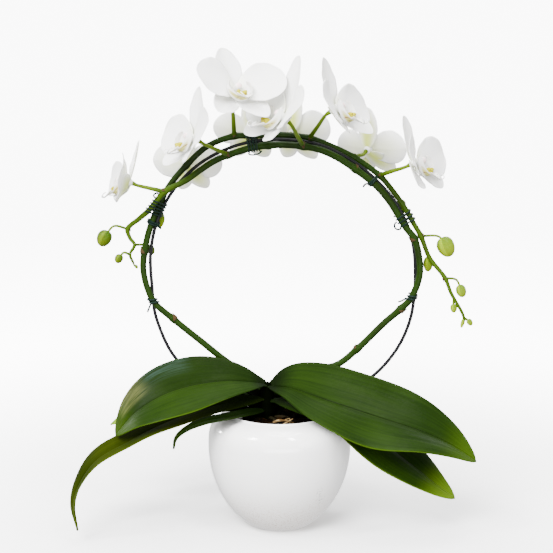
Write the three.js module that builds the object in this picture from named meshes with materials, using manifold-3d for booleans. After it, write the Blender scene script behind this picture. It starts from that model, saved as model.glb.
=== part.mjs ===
// A potted moth orchid: a round glazed pot with a grow pot and bark inside it, six broad leaves,
// a wire hoop, two flower spikes tied round it, ten white blooms and the buds at both ends.
// Millimetres, +Z up. The origin is the middle of the pot's foot, and -Y is the front.
import * as THREE from 'three';
import { mergeVertices } from 'three/addons/utils/BufferGeometryUtils.js';
import Module from 'manifold-3d';

const wasm = await Module();
wasm.setup();

// Driving dimensions of the glazed pot
const POT_RADIUS = 72;
const POT_HEIGHT = 116;
const POT_WIDEST_Z = 83;
const POT_LOWER_DROP = 91;
const POT_MOUTH_RADIUS = 47.5;
const POT_LIP_RADIUS = 51;
const POT_WALL = 5;
const FOOT_RADIUS = 30;
const FOOT_EDGE = 0.8;
const LIP_ROUND = 1.5;
const SHOULDER_POWER = 3.5;
const POT_LOWER_STEPS = 6;
const POT_UPPER_STEPS = 4;
const POT_SEGMENTS = 24;

// The grow pot that stands inside it, and the bark that fills the grow pot
const GROW_TOP_RADIUS = 44;
const GROW_FLANGE_RADIUS = 46.2;
const GROW_FLANGE_HEIGHT = 3;
const GROW_FOOT_RADIUS = 31;
const GROW_BOTTOM_Z = 9;
const GROW_TOP_Z = 105;
const GROW_WALL = 1.2;
const BARK_TOP_Z = 106;
const BARK_MOUND = 5;
const GROW_SEGMENTS = 18;
const LEG_HOLE = { radius: 3, depth: 60, sides: 8 };

// Chips of bark on the mound: they lie on a spiral with a turn between neighbours in radians, each
// with a least and a greatest length, width and height
const CHIPS = { count: 7, seed: 7, turn: 2.4, inset: 9, tilt: 0.35, sunk: 0.6, raised: 1 };
const CHIP_LENGTH = [10, 18];
const CHIP_WIDTH = [7, 12];
const CHIP_HEIGHT = [4, 7];

// The gap that touching pieces keep
const GAP = 0.3;

// The pot's hollow from its mouth down to its floor, as [radius, z]
const POT_HOLLOW = [[POT_MOUTH_RADIUS + 3, POT_HEIGHT - 7], [POT_RADIUS - 2 * POT_WALL, 101],
  [POT_RADIUS - POT_WALL, POT_WIDEST_Z], [POT_RADIUS - POT_WALL - 3, 60], [54, 34],
  [32, GROW_BOTTOM_Z - GAP]];

// The plant's short stem, which the leaves grow from
const CROWN = { x: -12, y: -4, radius: 7.5, bottom: 88, top: 148, sides: 8 };

// The wire hoop: a bent ring whose two ends turn down into two legs in the bark. The ring isn't
// quite round: it runs through places with an angle and how far each lies outside the true circle.
const HOOP = {
  x: 3, y: 10, z: 254, radius: 136, wire: 1.55, bendX: 32.4, bendZ: 119, legX: 28, legTop: 109,
  legBottom: 70,
};
const HOOP_SIDES = 6;
const HOOP_RINGS = 48;
const HOOP_RING = [[-72, 0], [-60, 1.2], [-46, 2.6], [-32, 2.2], [-20, 0.6], [-10, -1.6], [0, -2.8],
  [10, -2.3], [20, -1.6], [35, -2.1], [50, -2.8], [62, -2.2], [75, -0.7], [88, -0.7], [100, 0.4],
  [112, 1.6], [125, 2.5], [138, 2.2], [150, 1.2], [160, -0.4], [170, -2.1], [178, -3.8],
  [185, -4.5], [193, -2.8], [200, -1.4], [216, 1.5], [232, 1.2], [252, 0]];

const materials = {
  glaze: new THREE.MeshStandardMaterial({ color: 0xf1efec, roughness: 0.12, metalness: 0 }),
  plastic: new THREE.MeshStandardMaterial({ color: 0x2b211c, roughness: 0.5, metalness: 0 }),
  bark: new THREE.MeshStandardMaterial({ color: 0x2c1d14, roughness: 0.95, metalness: 0 }),
  root: new THREE.MeshStandardMaterial({ color: 0x9a9b80, roughness: 0.7, metalness: 0 }),
  leaf: new THREE.MeshStandardMaterial({ color: 0x24381a, roughness: 0.3, metalness: 0 }),
  leafOld: new THREE.MeshStandardMaterial({ color: 0x46541f, roughness: 0.4, metalness: 0 }),
  spike: new THREE.MeshStandardMaterial({ color: 0x56602c, roughness: 0.45, metalness: 0 }),
  wire: new THREE.MeshStandardMaterial({ color: 0x0d0f10, roughness: 0.4, metalness: 0 }),
  tie: new THREE.MeshStandardMaterial({ color: 0x12352f, roughness: 0.5, metalness: 0 }),
  petal: new THREE.MeshStandardMaterial({ color: 0xf4f2ef, roughness: 0.6, metalness: 0 }),
  callus: new THREE.MeshStandardMaterial({ color: 0xe0b22a, roughness: 0.5, metalness: 0 }),
};

// Steps of the frames that are carried along a curve
const FRAME_STEPS = 160;

const V = (x, y, z) => new THREE.Vector3(x, y, z);
const radians = THREE.MathUtils.degToRad;
const clamp = THREE.MathUtils.clamp;
const mix = THREE.MathUtils.lerp;
const ease = (t) => THREE.MathUtils.smoothstep(t, 0, 1);

// A seeded draw between 0 and 1, so that the model is the same each time
function seededDraw(seed) {
  let state = seed;
  return () => {
    state = (state * 1664525 + 1013904223) % 4294967296;
    return state / 4294967296;
  };
}

// Manifold solids and three.js geometries, there and back
function toSolid(geometry) {
  const bare = geometry.clone();
  bare.deleteAttribute('normal');
  bare.deleteAttribute('uv');
  const merged = mergeVertices(bare, 1e-4);
  return new wasm.Manifold(new wasm.Mesh({
    numProp: 3,
    vertProperties: new Float32Array(merged.attributes.position.array),
    triVerts: new Uint32Array(merged.index.array),
  }));
}

function toGeometry(solid) {
  const mesh = solid.getMesh();
  const geometry = new THREE.BufferGeometry();
  geometry.setAttribute('position', new THREE.BufferAttribute(mesh.vertProperties, 3));
  geometry.setIndex(new THREE.BufferAttribute(mesh.triVerts, 1));
  return geometry;
}

function joinAll(solids) {
  return solids.reduce((whole, next) => whole.add(next));
}

// A closed solid from rings of points: each ring joins the next, and the two ends are capped
function loft(rings) {
  const sides = rings[0].length;
  const positions = [];
  rings.forEach((ring) => ring.forEach((p) => positions.push(p.x, p.y, p.z)));
  const index = [];
  for (let row = 0; row + 1 < rings.length; row += 1) {
    for (let side = 0; side < sides; side += 1) {
      const a = row * sides + side;
      const b = row * sides + (side + 1) % sides;
      index.push(a, b, b + sides, a, b + sides, a + sides);
    }
  }
  const last = (rings.length - 1) * sides;
  for (let side = 1; side + 1 < sides; side += 1) {
    index.push(0, side + 1, side);
    index.push(last, last + side, last + side + 1);
  }
  const geometry = new THREE.BufferGeometry();
  geometry.setAttribute('position', new THREE.Float32BufferAttribute(positions, 3));
  geometry.setIndex(index);
  return geometry;
}

// Frames carried along a curve without twisting about it: point, side and normal at each step
function carriedFrames(curve, roll = 0) {
  const first = curve.getTangentAt(0);
  const level = first.clone().cross(V(0, 0, 1));
  if (level.length() < 0.01) {
    level.set(1, 0, 0);
  }
  level.normalize();
  const rise = level.clone().cross(first).normalize();
  const side = level.multiplyScalar(Math.cos(roll)).addScaledVector(rise, Math.sin(roll));
  const frames = [];
  for (let step = 0; step <= FRAME_STEPS; step += 1) {
    const t = step / FRAME_STEPS;
    const tangent = curve.getTangentAt(t);
    side.addScaledVector(tangent, -side.dot(tangent)).normalize();
    frames.push({ point: curve.getPointAt(t), side: side.clone(), normal: side.clone().cross(tangent) });
  }
  return frames;
}

function frameAt(frames, t) {
  const run = clamp(t, 0, 1) * (frames.length - 1);
  const low = Math.min(Math.floor(run), frames.length - 2);
  const blend = (key) => frames[low][key].clone().lerp(frames[low + 1][key], run - low);
  return { point: blend('point'), side: blend('side').normalize(), normal: blend('normal').normalize() };
}

const evenShares = (steps) => Array.from({ length: steps + 1 }, (_, step) => step / steps);

// A round stem along a curve, with a ring at each share of its length and radiusAt(share) there
function stem(curve, radiusAt, sides, shares) {
  const frames = carriedFrames(curve);
  return loft(shares.map((share) => {
    const { side, normal } = frameAt(frames, share);
    const centre = curve.getPointAt(share);
    return Array.from({ length: sides }, (_, corner) => {
      const angle = (corner / sides) * Math.PI * 2;
      return centre.clone()
        .addScaledVector(side, Math.cos(angle) * radiusAt(share))
        .addScaledVector(normal, -Math.sin(angle) * radiusAt(share));
    });
  }));
}

// A solid turned about a vertical axis from [radius, z] points that start and end on the axis
function turned(profile, segments) {
  const points = profile.map(([radius, z]) => new THREE.Vector2(radius, z));
  const geometry = new THREE.LatheGeometry(points, segments);
  geometry.rotateX(Math.PI / 2);
  return geometry;
}

function ellipsoid(centre, radii, towards, width, height) {
  const geometry = new THREE.SphereGeometry(1, width, height);
  geometry.scale(radii[0], radii[1], radii[2]);
  const turn = new THREE.Quaternion().setFromUnitVectors(V(0, 1, 0), towards.clone().normalize());
  geometry.applyQuaternion(turn);
  geometry.translate(centre.x, centre.y, centre.z);
  return toSolid(geometry);
}

// A thin solid on a curved surface: surface(u, v) for u from -1 to 1 across and v from 0 to 1 along.
// Both faces are split into triangles alike, so that they never cross.
function blade(surface, columns, rows, thicknessAt, rowAt = (row) => row) {
  const step = 1e-3;
  const front = [];
  const back = [];
  for (let row = 0; row <= rows; row += 1) {
    const v = rowAt(row / rows);
    for (let column = 0; column <= columns; column += 1) {
      const u = (column / columns) * 2 - 1;
      const point = surface(u, v);
      const across = surface(Math.min(u + step, 1), v).sub(surface(Math.max(u - step, -1), v));
      const along = surface(u, Math.min(v + step, 1)).sub(surface(u, Math.max(v - step, 0)));
      const normal = across.cross(along).normalize();
      const half = thicknessAt(u, v) / 2;
      front.push(point.clone().addScaledVector(normal, half));
      back.push(point.clone().addScaledVector(normal, -half));
    }
  }
  const positions = [];
  [...front, ...back].forEach((p) => positions.push(p.x, p.y, p.z));
  const wide = columns + 1;
  const under = front.length;
  const index = [];
  for (let row = 0; row < rows; row += 1) {
    for (let column = 0; column < columns; column += 1) {
      const a = row * wide + column;
      const b = a + 1;
      const c = a + wide;
      const d = c + 1;
      const mirrored = column >= columns / 2;
      const triangles = mirrored ? [[a, b, c], [b, d, c]] : [[a, b, d], [a, d, c]];
      triangles.forEach(([p, q, r]) => {
        index.push(p, q, r);
        index.push(p + under, r + under, q + under);
      });
    }
  }
  const wall = (p, q) => index.push(p, q, q + under, p, q + under, p + under);
  for (let row = 0; row < rows; row += 1) {
    wall(row * wide, (row + 1) * wide);
    wall((row + 1) * wide + columns, row * wide + columns);
  }
  for (let column = 0; column < columns; column += 1) {
    wall(column + 1, column);
    wall(rows * wide + column, rows * wide + column + 1);
  }
  const geometry = new THREE.BufferGeometry();
  geometry.setAttribute('position', new THREE.Float32BufferAttribute(positions, 3));
  geometry.setIndex(index);
  return geometry;
}

// The glazed pot: a squat ball with a narrower round mouth, hollow, on a flat foot
function potOutline() {
  const outer = [[0, 0], [FOOT_RADIUS - FOOT_EDGE, 0]];
  const footTurn = Math.acos(FOOT_RADIUS / POT_RADIUS);
  for (let step = 0; step <= POT_LOWER_STEPS; step += 1) {
    const angle = footTurn * (1 - step / POT_LOWER_STEPS);
    const z = POT_WIDEST_Z - POT_LOWER_DROP * Math.sin(angle);
    outer.push([POT_RADIUS * Math.cos(angle), Math.max(z, FOOT_EDGE)]);
  }
  const lipZ = POT_HEIGHT - LIP_ROUND;
  const fall = (1 - (POT_LIP_RADIUS / POT_RADIUS) ** SHOULDER_POWER) ** (1 / SHOULDER_POWER);
  const rise = (lipZ - POT_WIDEST_Z) / fall;
  for (let step = 1; step <= POT_UPPER_STEPS; step += 1) {
    const z = (lipZ - POT_WIDEST_Z) * Math.sin((step / POT_UPPER_STEPS) * Math.PI / 2);
    const radius = POT_RADIUS * (1 - (z / rise) ** SHOULDER_POWER) ** (1 / SHOULDER_POWER);
    outer.push([radius, POT_WIDEST_Z + z]);
  }
  const lip = [[POT_LIP_RADIUS - LIP_ROUND, POT_HEIGHT], [POT_MOUTH_RADIUS + LIP_ROUND / 2, POT_HEIGHT],
    [POT_MOUTH_RADIUS, POT_HEIGHT - LIP_ROUND]];
  return [...outer, ...lip, ...POT_HOLLOW, [0, GROW_BOTTOM_Z - GAP]];
}

function growPotOutline() {
  const flangeZ = GROW_TOP_Z - GROW_FLANGE_HEIGHT;
  return [[0, GROW_BOTTOM_Z], [GROW_FOOT_RADIUS, GROW_BOTTOM_Z], [GROW_TOP_RADIUS, flangeZ],
    [GROW_FLANGE_RADIUS, flangeZ], [GROW_FLANGE_RADIUS, GROW_TOP_Z],
    [GROW_TOP_RADIUS - GROW_WALL, GROW_TOP_Z],
    [GROW_FOOT_RADIUS - GROW_WALL, GROW_BOTTOM_Z + GROW_WALL], [0, GROW_BOTTOM_Z + GROW_WALL]];
}

// A place near the hoop: an angle round it, how far outside the true circle and how far in front
function byHoop(angle, out, front) {
  const reach = HOOP.radius + out;
  return V(
    HOOP.x + reach * Math.cos(radians(angle)),
    HOOP.y - front,
    HOOP.z + reach * Math.sin(radians(angle)),
  );
}

// A smooth curve through points
const through = (points) => new THREE.CatmullRomCurve3(points, false, 'centripetal');

// The hoop's path: up the right leg, round the ring and down the left leg
function hoopCurve() {
  const leg = (side) => [
    V(HOOP.x + side * HOOP.legX, HOOP.y, HOOP.legBottom),
    V(HOOP.x + side * HOOP.legX, HOOP.y, (HOOP.legBottom + HOOP.legTop) / 2),
    V(HOOP.x + side * HOOP.legX, HOOP.y, HOOP.legTop),
    V(HOOP.x + side * HOOP.bendX, HOOP.y, HOOP.bendZ),
  ];
  return through([...leg(1), ...HOOP_RING.map(([angle, out]) => byHoop(angle, out, 0)),
    ...leg(-1).reverse()]);
}

// The leaves. Each has a spine, which is its midrib from the stem out to the tip, and two halves on
// both sides of it: the near half, towards the front, and the far half. A half has its greatest
// width and the angles that it rises at across the blade, in degrees, at even steps along the spine.
// A low early puts the widest place nearer to the stem, and a low full makes the ends blunter.
const LEAVES = {
  leaf_left_upper: {
    spine: [V(-14, -5, 145), V(-34, -12, 149), V(-55, -18, 151), V(-87, -25, 148),
      V(-115, -31, 140), V(-141, -36, 124), V(-161, -39, 102)],
    near: { width: 36, rise: [-8, -23, -28, -25, -6] },
    far: { width: 36, rise: [54, 49, 42, 41, 26] },
    early: 1.1, full: 0.6,
  },
  leaf_right_upper: {
    spine: [V(-10, -6, 143.5), V(14, -14, 142), V(46, -23, 133), V(94, -32, 119),
      V(142, -37, 104), V(168, -38, 92), V(194, -38, 75)],
    near: { width: 42, rise: [4, -17, -29, -18, -4] },
    far: { width: 45, rise: [66, 46, 41, 45, 32] },
    early: 0.82, full: 0.6,
  },
  leaf_left_lower: {
    spine: [V(-16, -8, 131), V(-43, -14, 129), V(-79, -24, 123), V(-118, -34, 110),
      V(-146, -42, 97), V(-179, -50, 79), V(-195, -55, 57), V(-201, -58, 37), V(-198, -60, 12)],
    near: { width: 19, rise: [-20, -10, 2, 6, 10] },
    far: { width: 19, rise: [32, 18, 18, 24, 8] },
    early: 0.9, full: 0.6, old: true,
  },
  leaf_right_lower: {
    spine: [V(-8, -8, 130), V(21, -14, 126), V(45, -17, 122), V(68, -20, 112), V(92, -22, 98),
      V(114, -24, 81), V(142, -26, 59), V(156, -27, 48), V(175, -28, 34)],
    near: { width: 30, rise: [-14, -14, -34, -32, -14] },
    far: { width: 30, rise: [20, 6, 6, 40, 30] },
    early: 1.1, full: 0.6,
  },
  leaf_left_small: {
    spine: [V(-15, -9, 119.6), V(-46, -36, 120), V(-73, -49, 118), V(-90, -53, 112),
      V(-100, -56, 104), V(-103, -58, 94)],
    near: { width: 8, rise: [-10, 2, 0, 5, 8] },
    far: { width: 8, rise: [50, 40, 22, 14, 20] },
    early: 0.9, full: 0.5,
  },
  leaf_left_back: {
    spine: [V(-12, 3, 125), V(-33, 34, 134), V(-82, 48, 137), V(-130, 52, 118),
      V(-177, 48, 89)],
    near: { width: 24, rise: [-10, -6, -8, -10, -10] },
    far: { width: 24, rise: [40, 26, 18, 16, 12] },
    early: 0.95, full: 0.6,
  },
};
const LEAF_CLAW = 0.16;
const LEAF_TIP = 0.9;
const LEAF_ARCH = 0.06;
const LEAF_COLUMNS = 4;
const LEAF_ROWS = 10;
const LEAF_MIDRIB_THICKNESS = 2.4;
const LEAF_MARGIN_THICKNESS = 1.1;
const LEAF_THINNING = 0.7;

// Rows of a blade gather at its root and its tip, where the outline turns
const gathered = (row) => (1 - Math.cos(Math.PI * row)) / 2;

// A smooth run through evenly spaced values
function alongValues(values, share) {
  const curve = new THREE.SplineCurve(values.map((value, place) => new THREE.Vector2(place, value)));
  return curve.getPoint(share).y;
}

function leafSurface(leaf) {
  const frames = carriedFrames(through(leaf.spine));
  const nearSide = -Math.sign(frames[0].side.y);
  return (u, v) => {
    const { point, side, normal } = frameAt(frames, v);
    const half = u * nearSide > 0 ? leaf.near : leaf.far;
    const outline = Math.max(Math.sin(Math.PI * v ** leaf.early) ** leaf.full, LEAF_CLAW * (1 - v));
    const width = Math.max(half.width * outline, LEAF_TIP);
    const rise = radians(alongValues(half.rise, v));
    const out = Math.abs(u) * width;
    const arch = LEAF_ARCH * 4 * out * (1 - Math.abs(u));
    return point.addScaledVector(side, u * width * Math.cos(rise))
      .addScaledVector(normal, out * Math.sin(rise) + arch);
  };
}

function leafThickness(u) {
  return mix(LEAF_MIDRIB_THICKNESS, LEAF_MARGIN_THICKNESS, Math.abs(u) ** LEAF_THINNING);
}

// Blooms: the place of the middle, where it faces (0 is the front, + is right), how far it looks
// up, how far it rolls, its size, the angles of its petals and its lower sepals from its top, how
// far its top sepal, its petals and its lower sepals lean forward, and the spike and the place on
// it that its stalk comes from. Where one sepal grew askew, odd has which of them it is, how many
// degrees it is turned and how long and how wide it is beside the others.
const BLOOMS = [
  { name: 'bloom_1', at: V(-149, -8, 349), face: -78, lift: 14, roll: 14, size: 0.82,
    spread: [76, 138], lean: [-0.16, 0.34, 0.3], spike: 'right', from: 144,
    odd: { which: 1, turn: -10, length: 0.84, width: 1.3 } },
  { name: 'bloom_2', at: V(-82, -26, 392), face: -62, lift: 22, roll: 9, size: 0.95,
    spread: [78, 136], lean: [0.14, 0.32, 0.34], spike: 'right', from: 114 },
  { name: 'bloom_3', at: V(-94, 44, 363), face: 162, lift: 14, roll: -2, size: 0.79,
    spread: [84, 152], lean: [0.15, 0.08, 0.34], spike: 'left', from: 131 },
  { name: 'bloom_4', at: V(-42, -26, 437), face: 26, lift: 38, roll: -8, size: 0.95,
    spread: [79, 143], lean: [0.1, 0.46, 0.24], spike: 'left', from: 109,
    odd: { which: 0, turn: -13, length: 0.9, width: 1 } },
  { name: 'bloom_5', at: V(4, -28, 412), face: -60, lift: 34, roll: -4, size: 1.06,
    spread: [77, 128], lean: [0.3, 0.4, 0.27], spike: 'right', from: 81,
    odd: { which: 1, turn: 12, length: 0.85, width: 1.25 } },
  { name: 'bloom_6', at: V(-29, 40, 393), face: 182, lift: 16, roll: 1, size: 0.77,
    spread: [78, 145], lean: [0.15, 0.22, 0.35], spike: 'right', from: 96 },
  { name: 'bloom_7', at: V(14, 57, 394), face: 152, lift: 12, roll: 0, size: 0.82,
    spread: [77, 146], lean: [0.15, 0.19, 0.31], spike: 'left', from: 90 },
  { name: 'bloom_8', at: V(53, -24, 420), face: 64, lift: 24, roll: -6, size: 1.0,
    spread: [84, 133], lean: [0.13, 0.35, 0.37], spike: 'left', from: 79,
    odd: { which: 2, turn: -6, length: 0.85, width: 1.2 } },
  { name: 'bloom_9', at: V(90, 42, 378), face: 147, lift: 20, roll: 1, size: 0.81,
    spread: [87, 152], lean: [0.24, 0.15, 0.5], spike: 'left', from: 59 },
  { name: 'bloom_10', at: V(132, -12, 368), face: 61, lift: 18, roll: -5, size: 0.92,
    spread: [80, 133], lean: [-0.04, 0.39, 0.3], spike: 'left', from: 46,
    odd: { which: 2, turn: -4, length: 0.86, width: 1.25 } },
];

// Petals and sepals of a bloom in its own frame: +Z faces out of it and +Y is its top. Each has the
// place and width of its root, how far it curls forward and how far its sides cup forward. The
// sepals lie behind the petals.
const SEPAL = {
  width: 27, root: 1.2, set: -2, curl: 0.06, cup: 0.2, full: 0.52, claw: 0.26, early: 1,
  columns: 2, rows: 3,
};
const PETAL = {
  width: 44, root: 1.6, set: 1.5, curl: -0.08, cup: 0.16, full: 0.5, claw: 0.14, early: 1.05,
  columns: 4, rows: 4,
};
const TEPALS = [
  { ...SEPAL, side: 0, spread: 0, length: 51, lean: 0, seed: 3 },
  { ...SEPAL, side: 1, spread: 1, length: 41, lean: 2, seed: 5 },
  { ...SEPAL, side: -1, spread: 1, length: 41, lean: 2, set: -3.6, seed: 8 },
  { ...PETAL, side: 1, spread: 0, length: 47, lean: 1, seed: 13 },
  { ...PETAL, side: -1, spread: 0, length: 47, lean: 1, seed: 21 },
];
const PETAL_THICKNESS = 0.9;
const TEPAL_TIP = 0.06;

// The column in the middle of a bloom
const HUB = { radius: 4.4, back: -5.4, front: 10, sides: 5, rows: 4 };

// How much the tepals vary: turns in degrees, sizes as shares, and the slopes of leans and curls
const VARY = { turn: 3, size: 0.04, lean: 0.03, curl: 0.05 };
const RIPPLE = { height: 0.05, along: 7, across: 2 };

// Each bloom varies a little, by a draw of its own from its number
function tepalSurface(tepal, bloom) {
  const draw = seededDraw(tepal.seed * 100 + Number(bloom.name.split('_')[1]));
  const vary = (spread) => (draw() - 0.5) * 2 * spread;
  const isOdd = bloom.odd && TEPALS[bloom.odd.which] === tepal;
  const odd = isOdd ? bloom.odd : { turn: 0, length: 1, width: 1 };
  const turn = radians(tepal.side * bloom.spread[tepal.spread] + odd.turn + vary(VARY.turn));
  const along = V(Math.sin(turn), Math.cos(turn), 0);
  const across = V(Math.cos(turn), -Math.sin(turn), 0);
  const length = tepal.length * odd.length * bloom.size * (1 + vary(VARY.size));
  const width = tepal.width * odd.width * bloom.size * (1 + vary(VARY.size));
  const lean = bloom.lean[tepal.lean] + vary(VARY.lean);
  const curl = tepal.curl + vary(VARY.curl);
  const wavePlace = vary(Math.PI);
  return (u, v) => {
    const outline = Math.sin(Math.PI * v ** tepal.early) ** tepal.full;
    const half = width / 2 * Math.max(outline, tepal.claw * (1 - v), TEPAL_TIP);
    const ripple = RIPPLE.height * half * u * u
      * Math.sin(wavePlace + v * RIPPLE.along + u * RIPPLE.across);
    const height = tepal.set + (lean + curl * v) * v * length
      + tepal.cup * u * u * half * ease(v * 3) + ripple;
    return along.clone().multiplyScalar(tepal.root + v * length)
      .addScaledVector(across, u * half).setZ(height);
  };
}

// The lip in the bloom's frame: one sheet that hangs below the column. Its sides stand up round the
// column as two lobes, and its front is a narrow tongue.
const LIP = {
  radius: 12, middle: -5, lobeTurn: 2.45, tongueTurn: 0.62, tongueFrom: 0.6, drop: 7, root: -2.5,
  narrow: 3, near: 2, far: 23, throat: 0.24, tip: 0.14, flare: 1.2, thickness: 0.9,
  columns: 4, rows: 5,
};
const CALLUS = { y: -11.8, z: 13, radii: [4.4, 1.8, 4.4], sides: 6, rows: 4 };

function lipSurface(u, v) {
  const past = Math.max(0, (v - LIP.tongueFrom) / (1 - LIP.tongueFrom));
  const lobe = LIP.lobeTurn * Math.sin(Math.PI * Math.min(v / LIP.tongueFrom, 1)) ** 0.5;
  const tongue = LIP.tongueTurn * (1 - past ** 2) ** 0.6;
  const turn = Math.sign(u) * Math.abs(u) ** 1.5 * Math.max(lobe, tongue, LIP.tip);
  const reach = mix(LIP.root, LIP.radius, ease(v / LIP.throat));
  return V(Math.max(reach, LIP.narrow) * Math.sin(turn),
    LIP.middle - reach * Math.cos(turn) - LIP.drop * past ** 1.5,
    mix(LIP.near, LIP.far, v) + Math.abs(turn) * LIP.flare);
}

// The petals, the sepals, the column and the lip of a bloom
function bloomSolid(bloom) {
  const tepals = TEPALS.map((tepal) => toSolid(blade(tepalSurface(tepal, bloom), tepal.columns,
    tepal.rows, () => PETAL_THICKNESS, gathered)));
  const middle = (HUB.front + HUB.back) / 2;
  const column = ellipsoid(V(0, 0, middle), [HUB.radius, (HUB.front - HUB.back) / 2, HUB.radius],
    V(0, 0, 1), HUB.sides, HUB.rows);
  const lip = toSolid(blade((u, v) => lipSurface(u, v).multiplyScalar(bloom.size), LIP.columns,
    LIP.rows, () => LIP.thickness));
  return joinAll([...tepals, column, lip]);
}

// The yellow callus, which lies in the trough of the lip
function callusGeometry(size) {
  const callus = new THREE.SphereGeometry(1, CALLUS.sides, CALLUS.rows);
  callus.scale(...CALLUS.radii);
  callus.translate(0, CALLUS.y, CALLUS.z);
  callus.scale(size, size, size);
  return callus;
}

// The turn and place of a bloom's own frame
function bloomFrame(bloom) {
  const facing = radians(bloom.face);
  const lift = radians(bloom.lift);
  const out = V(Math.sin(facing), -Math.cos(facing), 0);
  const front = out.clone().multiplyScalar(Math.cos(lift)).setZ(Math.sin(lift));
  const top = out.clone().multiplyScalar(-Math.sin(lift)).setZ(Math.cos(lift));
  top.applyAxisAngle(front, radians(bloom.roll));
  return new THREE.Matrix4().makeBasis(top.clone().cross(front), top, front).setPosition(bloom.at);
}

// Flower spikes. The route of each runs from the stem round the hoop, as [angle, out, front]. Its
// radius is given at even steps, and its nodes and the places where a low tie holds it by their
// angles.
const SPIKE_LEFT = {
  start: [V(-17, 3, 141), V(-28, 11, 150), V(-50, 13.5, 162)],
  route: [[-141, -29.3, 0], [-158, -17.6, 2.5], [-168, -5, 5.4], [-175, 0, 4.4], [177, 3.4, 3.4],
    [170, 3.6, 3], [163, 4.2, 2], [157, 5, 1], [150, 6.6, 0], [142, 8.4, -1],
    [131, 9.4, -1.6], [120, 12.6, -2], [109, 10.6, -1.6], [103, 6.6, -2], [97, 4.6, -2.6],
    [90, 3.8, -3], [79, 3.2, -4], [69, 1.4, -4.8], [59, 1.2, -5.2], [46, 2.6, -5.4], [38, 2.4, -3.6],
    [29, 3.2, -1.8], [22, 4.6, 0], [16, 7.6, 0.6], [7, 12, 1], [-1, 27, 2], [-6, 34, 2.4],
    [-12, 49, 2.4], [-14, 53, 2.4]],
  radius: [3, 3.1, 2.6, 2.4, 2.5, 2.7, 2.7, 2.6, 2.5, 2.1, 1.4],
  nodes: [-158, 170, 131, 109, 79, 59, 46, 16, -1],
  tied: [-168],
};
const SPIKE_RIGHT = {
  start: [V(-4, 6, 133), V(12, 12, 148), V(36, 12.5, 157)],
  route: [[-59, -28.6, -0.5], [-45, -29, 0.5], [-25, -22.4, 2.5], [-16, -12.8, 4.2], [-10, -5.4, 5.6],
    [0, 0.8, 5.2], [8, 1.4, 5.2], [16, 0.2, 5.6], [22, -4.4, 4.2], [28, -6, 3.2], [35, -6.3, 3],
    [44, -6.7, 3], [56, -7.6, 3.2], [66, -6.2, 3], [74, -5.2, 3], [81, -5.5, 3.4], [89, -5.6, 2.6],
    [96, -5.5, 2.6], [103, -5, 2.6], [114, -4.3, 2.8], [121, -3.2, 2.8], [128, -2.8, 4],
    [135, -1, 6.4], [144, 7, 8.2], [149, 9.4, 8], [154, 12.6, 7], [158, 19, 5.6], [163, 25, 4.4],
    [166, 20.5, 4.2], [168, 14.6, 4.6], [172, 17.6, 4.2], [175, 13.6, 4]],
  radius: [2.8, 2.9, 3, 3, 3, 3.1, 3.1, 3.1, 2.8, 2.6, 1.2],
  nodes: [-45, -16, 16, 56, 81, 96, 114, 144, 163],
  tied: [-10],
};
const NODE_SWELL = 0.22;
const NODE_HALF_LENGTH = 5;
const SPIKE_RINGS = 30;
const SPIKE_SIDES = 6;

// A flower stalk: its radius at both ends, how far behind the bloom it bends up and how deep below
// the bloom's axis, and where its straight part ends
const STALK = { base: 2.2, top: 1.3, behind: 8, below: 3.5, straight: 0.6, sides: 5, rings: 4 };
const BUD = { sides: 6, rows: 4, nod: 0.5, stalk: 1.1, stalkSides: 4, stalkRings: 2 };

// A bud: where its stalk leaves the spike, the bends of the stalk, the bud's middle, and its
// length and width
const BUDS = {
  left: [
    { from: [157, 5, 1], via: [156, 2.4, -5.4], at: [156, -3.4, -9], size: [15, 8.5] },
    { from: [31, 3, -1.4], via: [31, 3.6, -7], at: [29, -1, -12], size: [21, 12] },
    { from: [16, 7.6, 0.6], via: [14, 25, 1.5], at: [10, 30, 2], size: [21, 18] },
    { from: [7, 12, 1], via: [6, 11.5, -4], at: [4, 11, -6], size: [16, 10] },
    { from: [-1, 27, 2], via: [-1.4, 38, 3], at: [-5, 44, 3], size: [13, 10.5] },
    { from: [-8, 38, 2.4], via: [-9, 38, 2.4], at: [-11, 39.4, 2.4], size: [9, 7] },
    { from: [-13.4, 52, 2.4], via: [-13.6, 55, 2.4], at: [-14.2, 58.6, 2.4], size: [7.5, 6] },
    { from: [-13.6, 52.4, 2.4], via: [-14.2, 52.2, 2.4], at: [-15, 51.8, 2.4], size: [10, 4] },
  ],
  right: [
    { from: [163, 25, 4.4], via: [163.4, 39, 5], at: [168, 45.4, 5], size: [17, 15] },
    { from: [168, 14.6, 4.6], via: [169, 6, -7.4], at: [169.6, -3.4, -10], size: [10, 8] },
    { from: [172, 17.6, 4.2], via: [171.6, 24, 4.6], at: [174, 28.2, 4.6], size: [9.5, 8.5] },
    { from: [175, 13.6, 4], via: [176, 12, 5.4], at: [176.2, 10, 7.6], size: [4, 2.6] },
  ],
};

const alongList = (list, t) => {
  const run = clamp(t, 0, 1) * (list.length - 1);
  const low = Math.min(Math.floor(run), list.length - 2);
  return mix(list[low], list[low + 1], run - low);
};

const onRoute = (spike, angle) => byHoop(...spike.route.find((place) => place[0] === angle));

// The share of a curve's length that is nearest to a point
function nearestShare(curve, point) {
  return evenShares(400).reduce((best, share) => (
    curve.getPointAt(share).distanceTo(point) < curve.getPointAt(best).distanceTo(point) ? share : best), 0);
}

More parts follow.
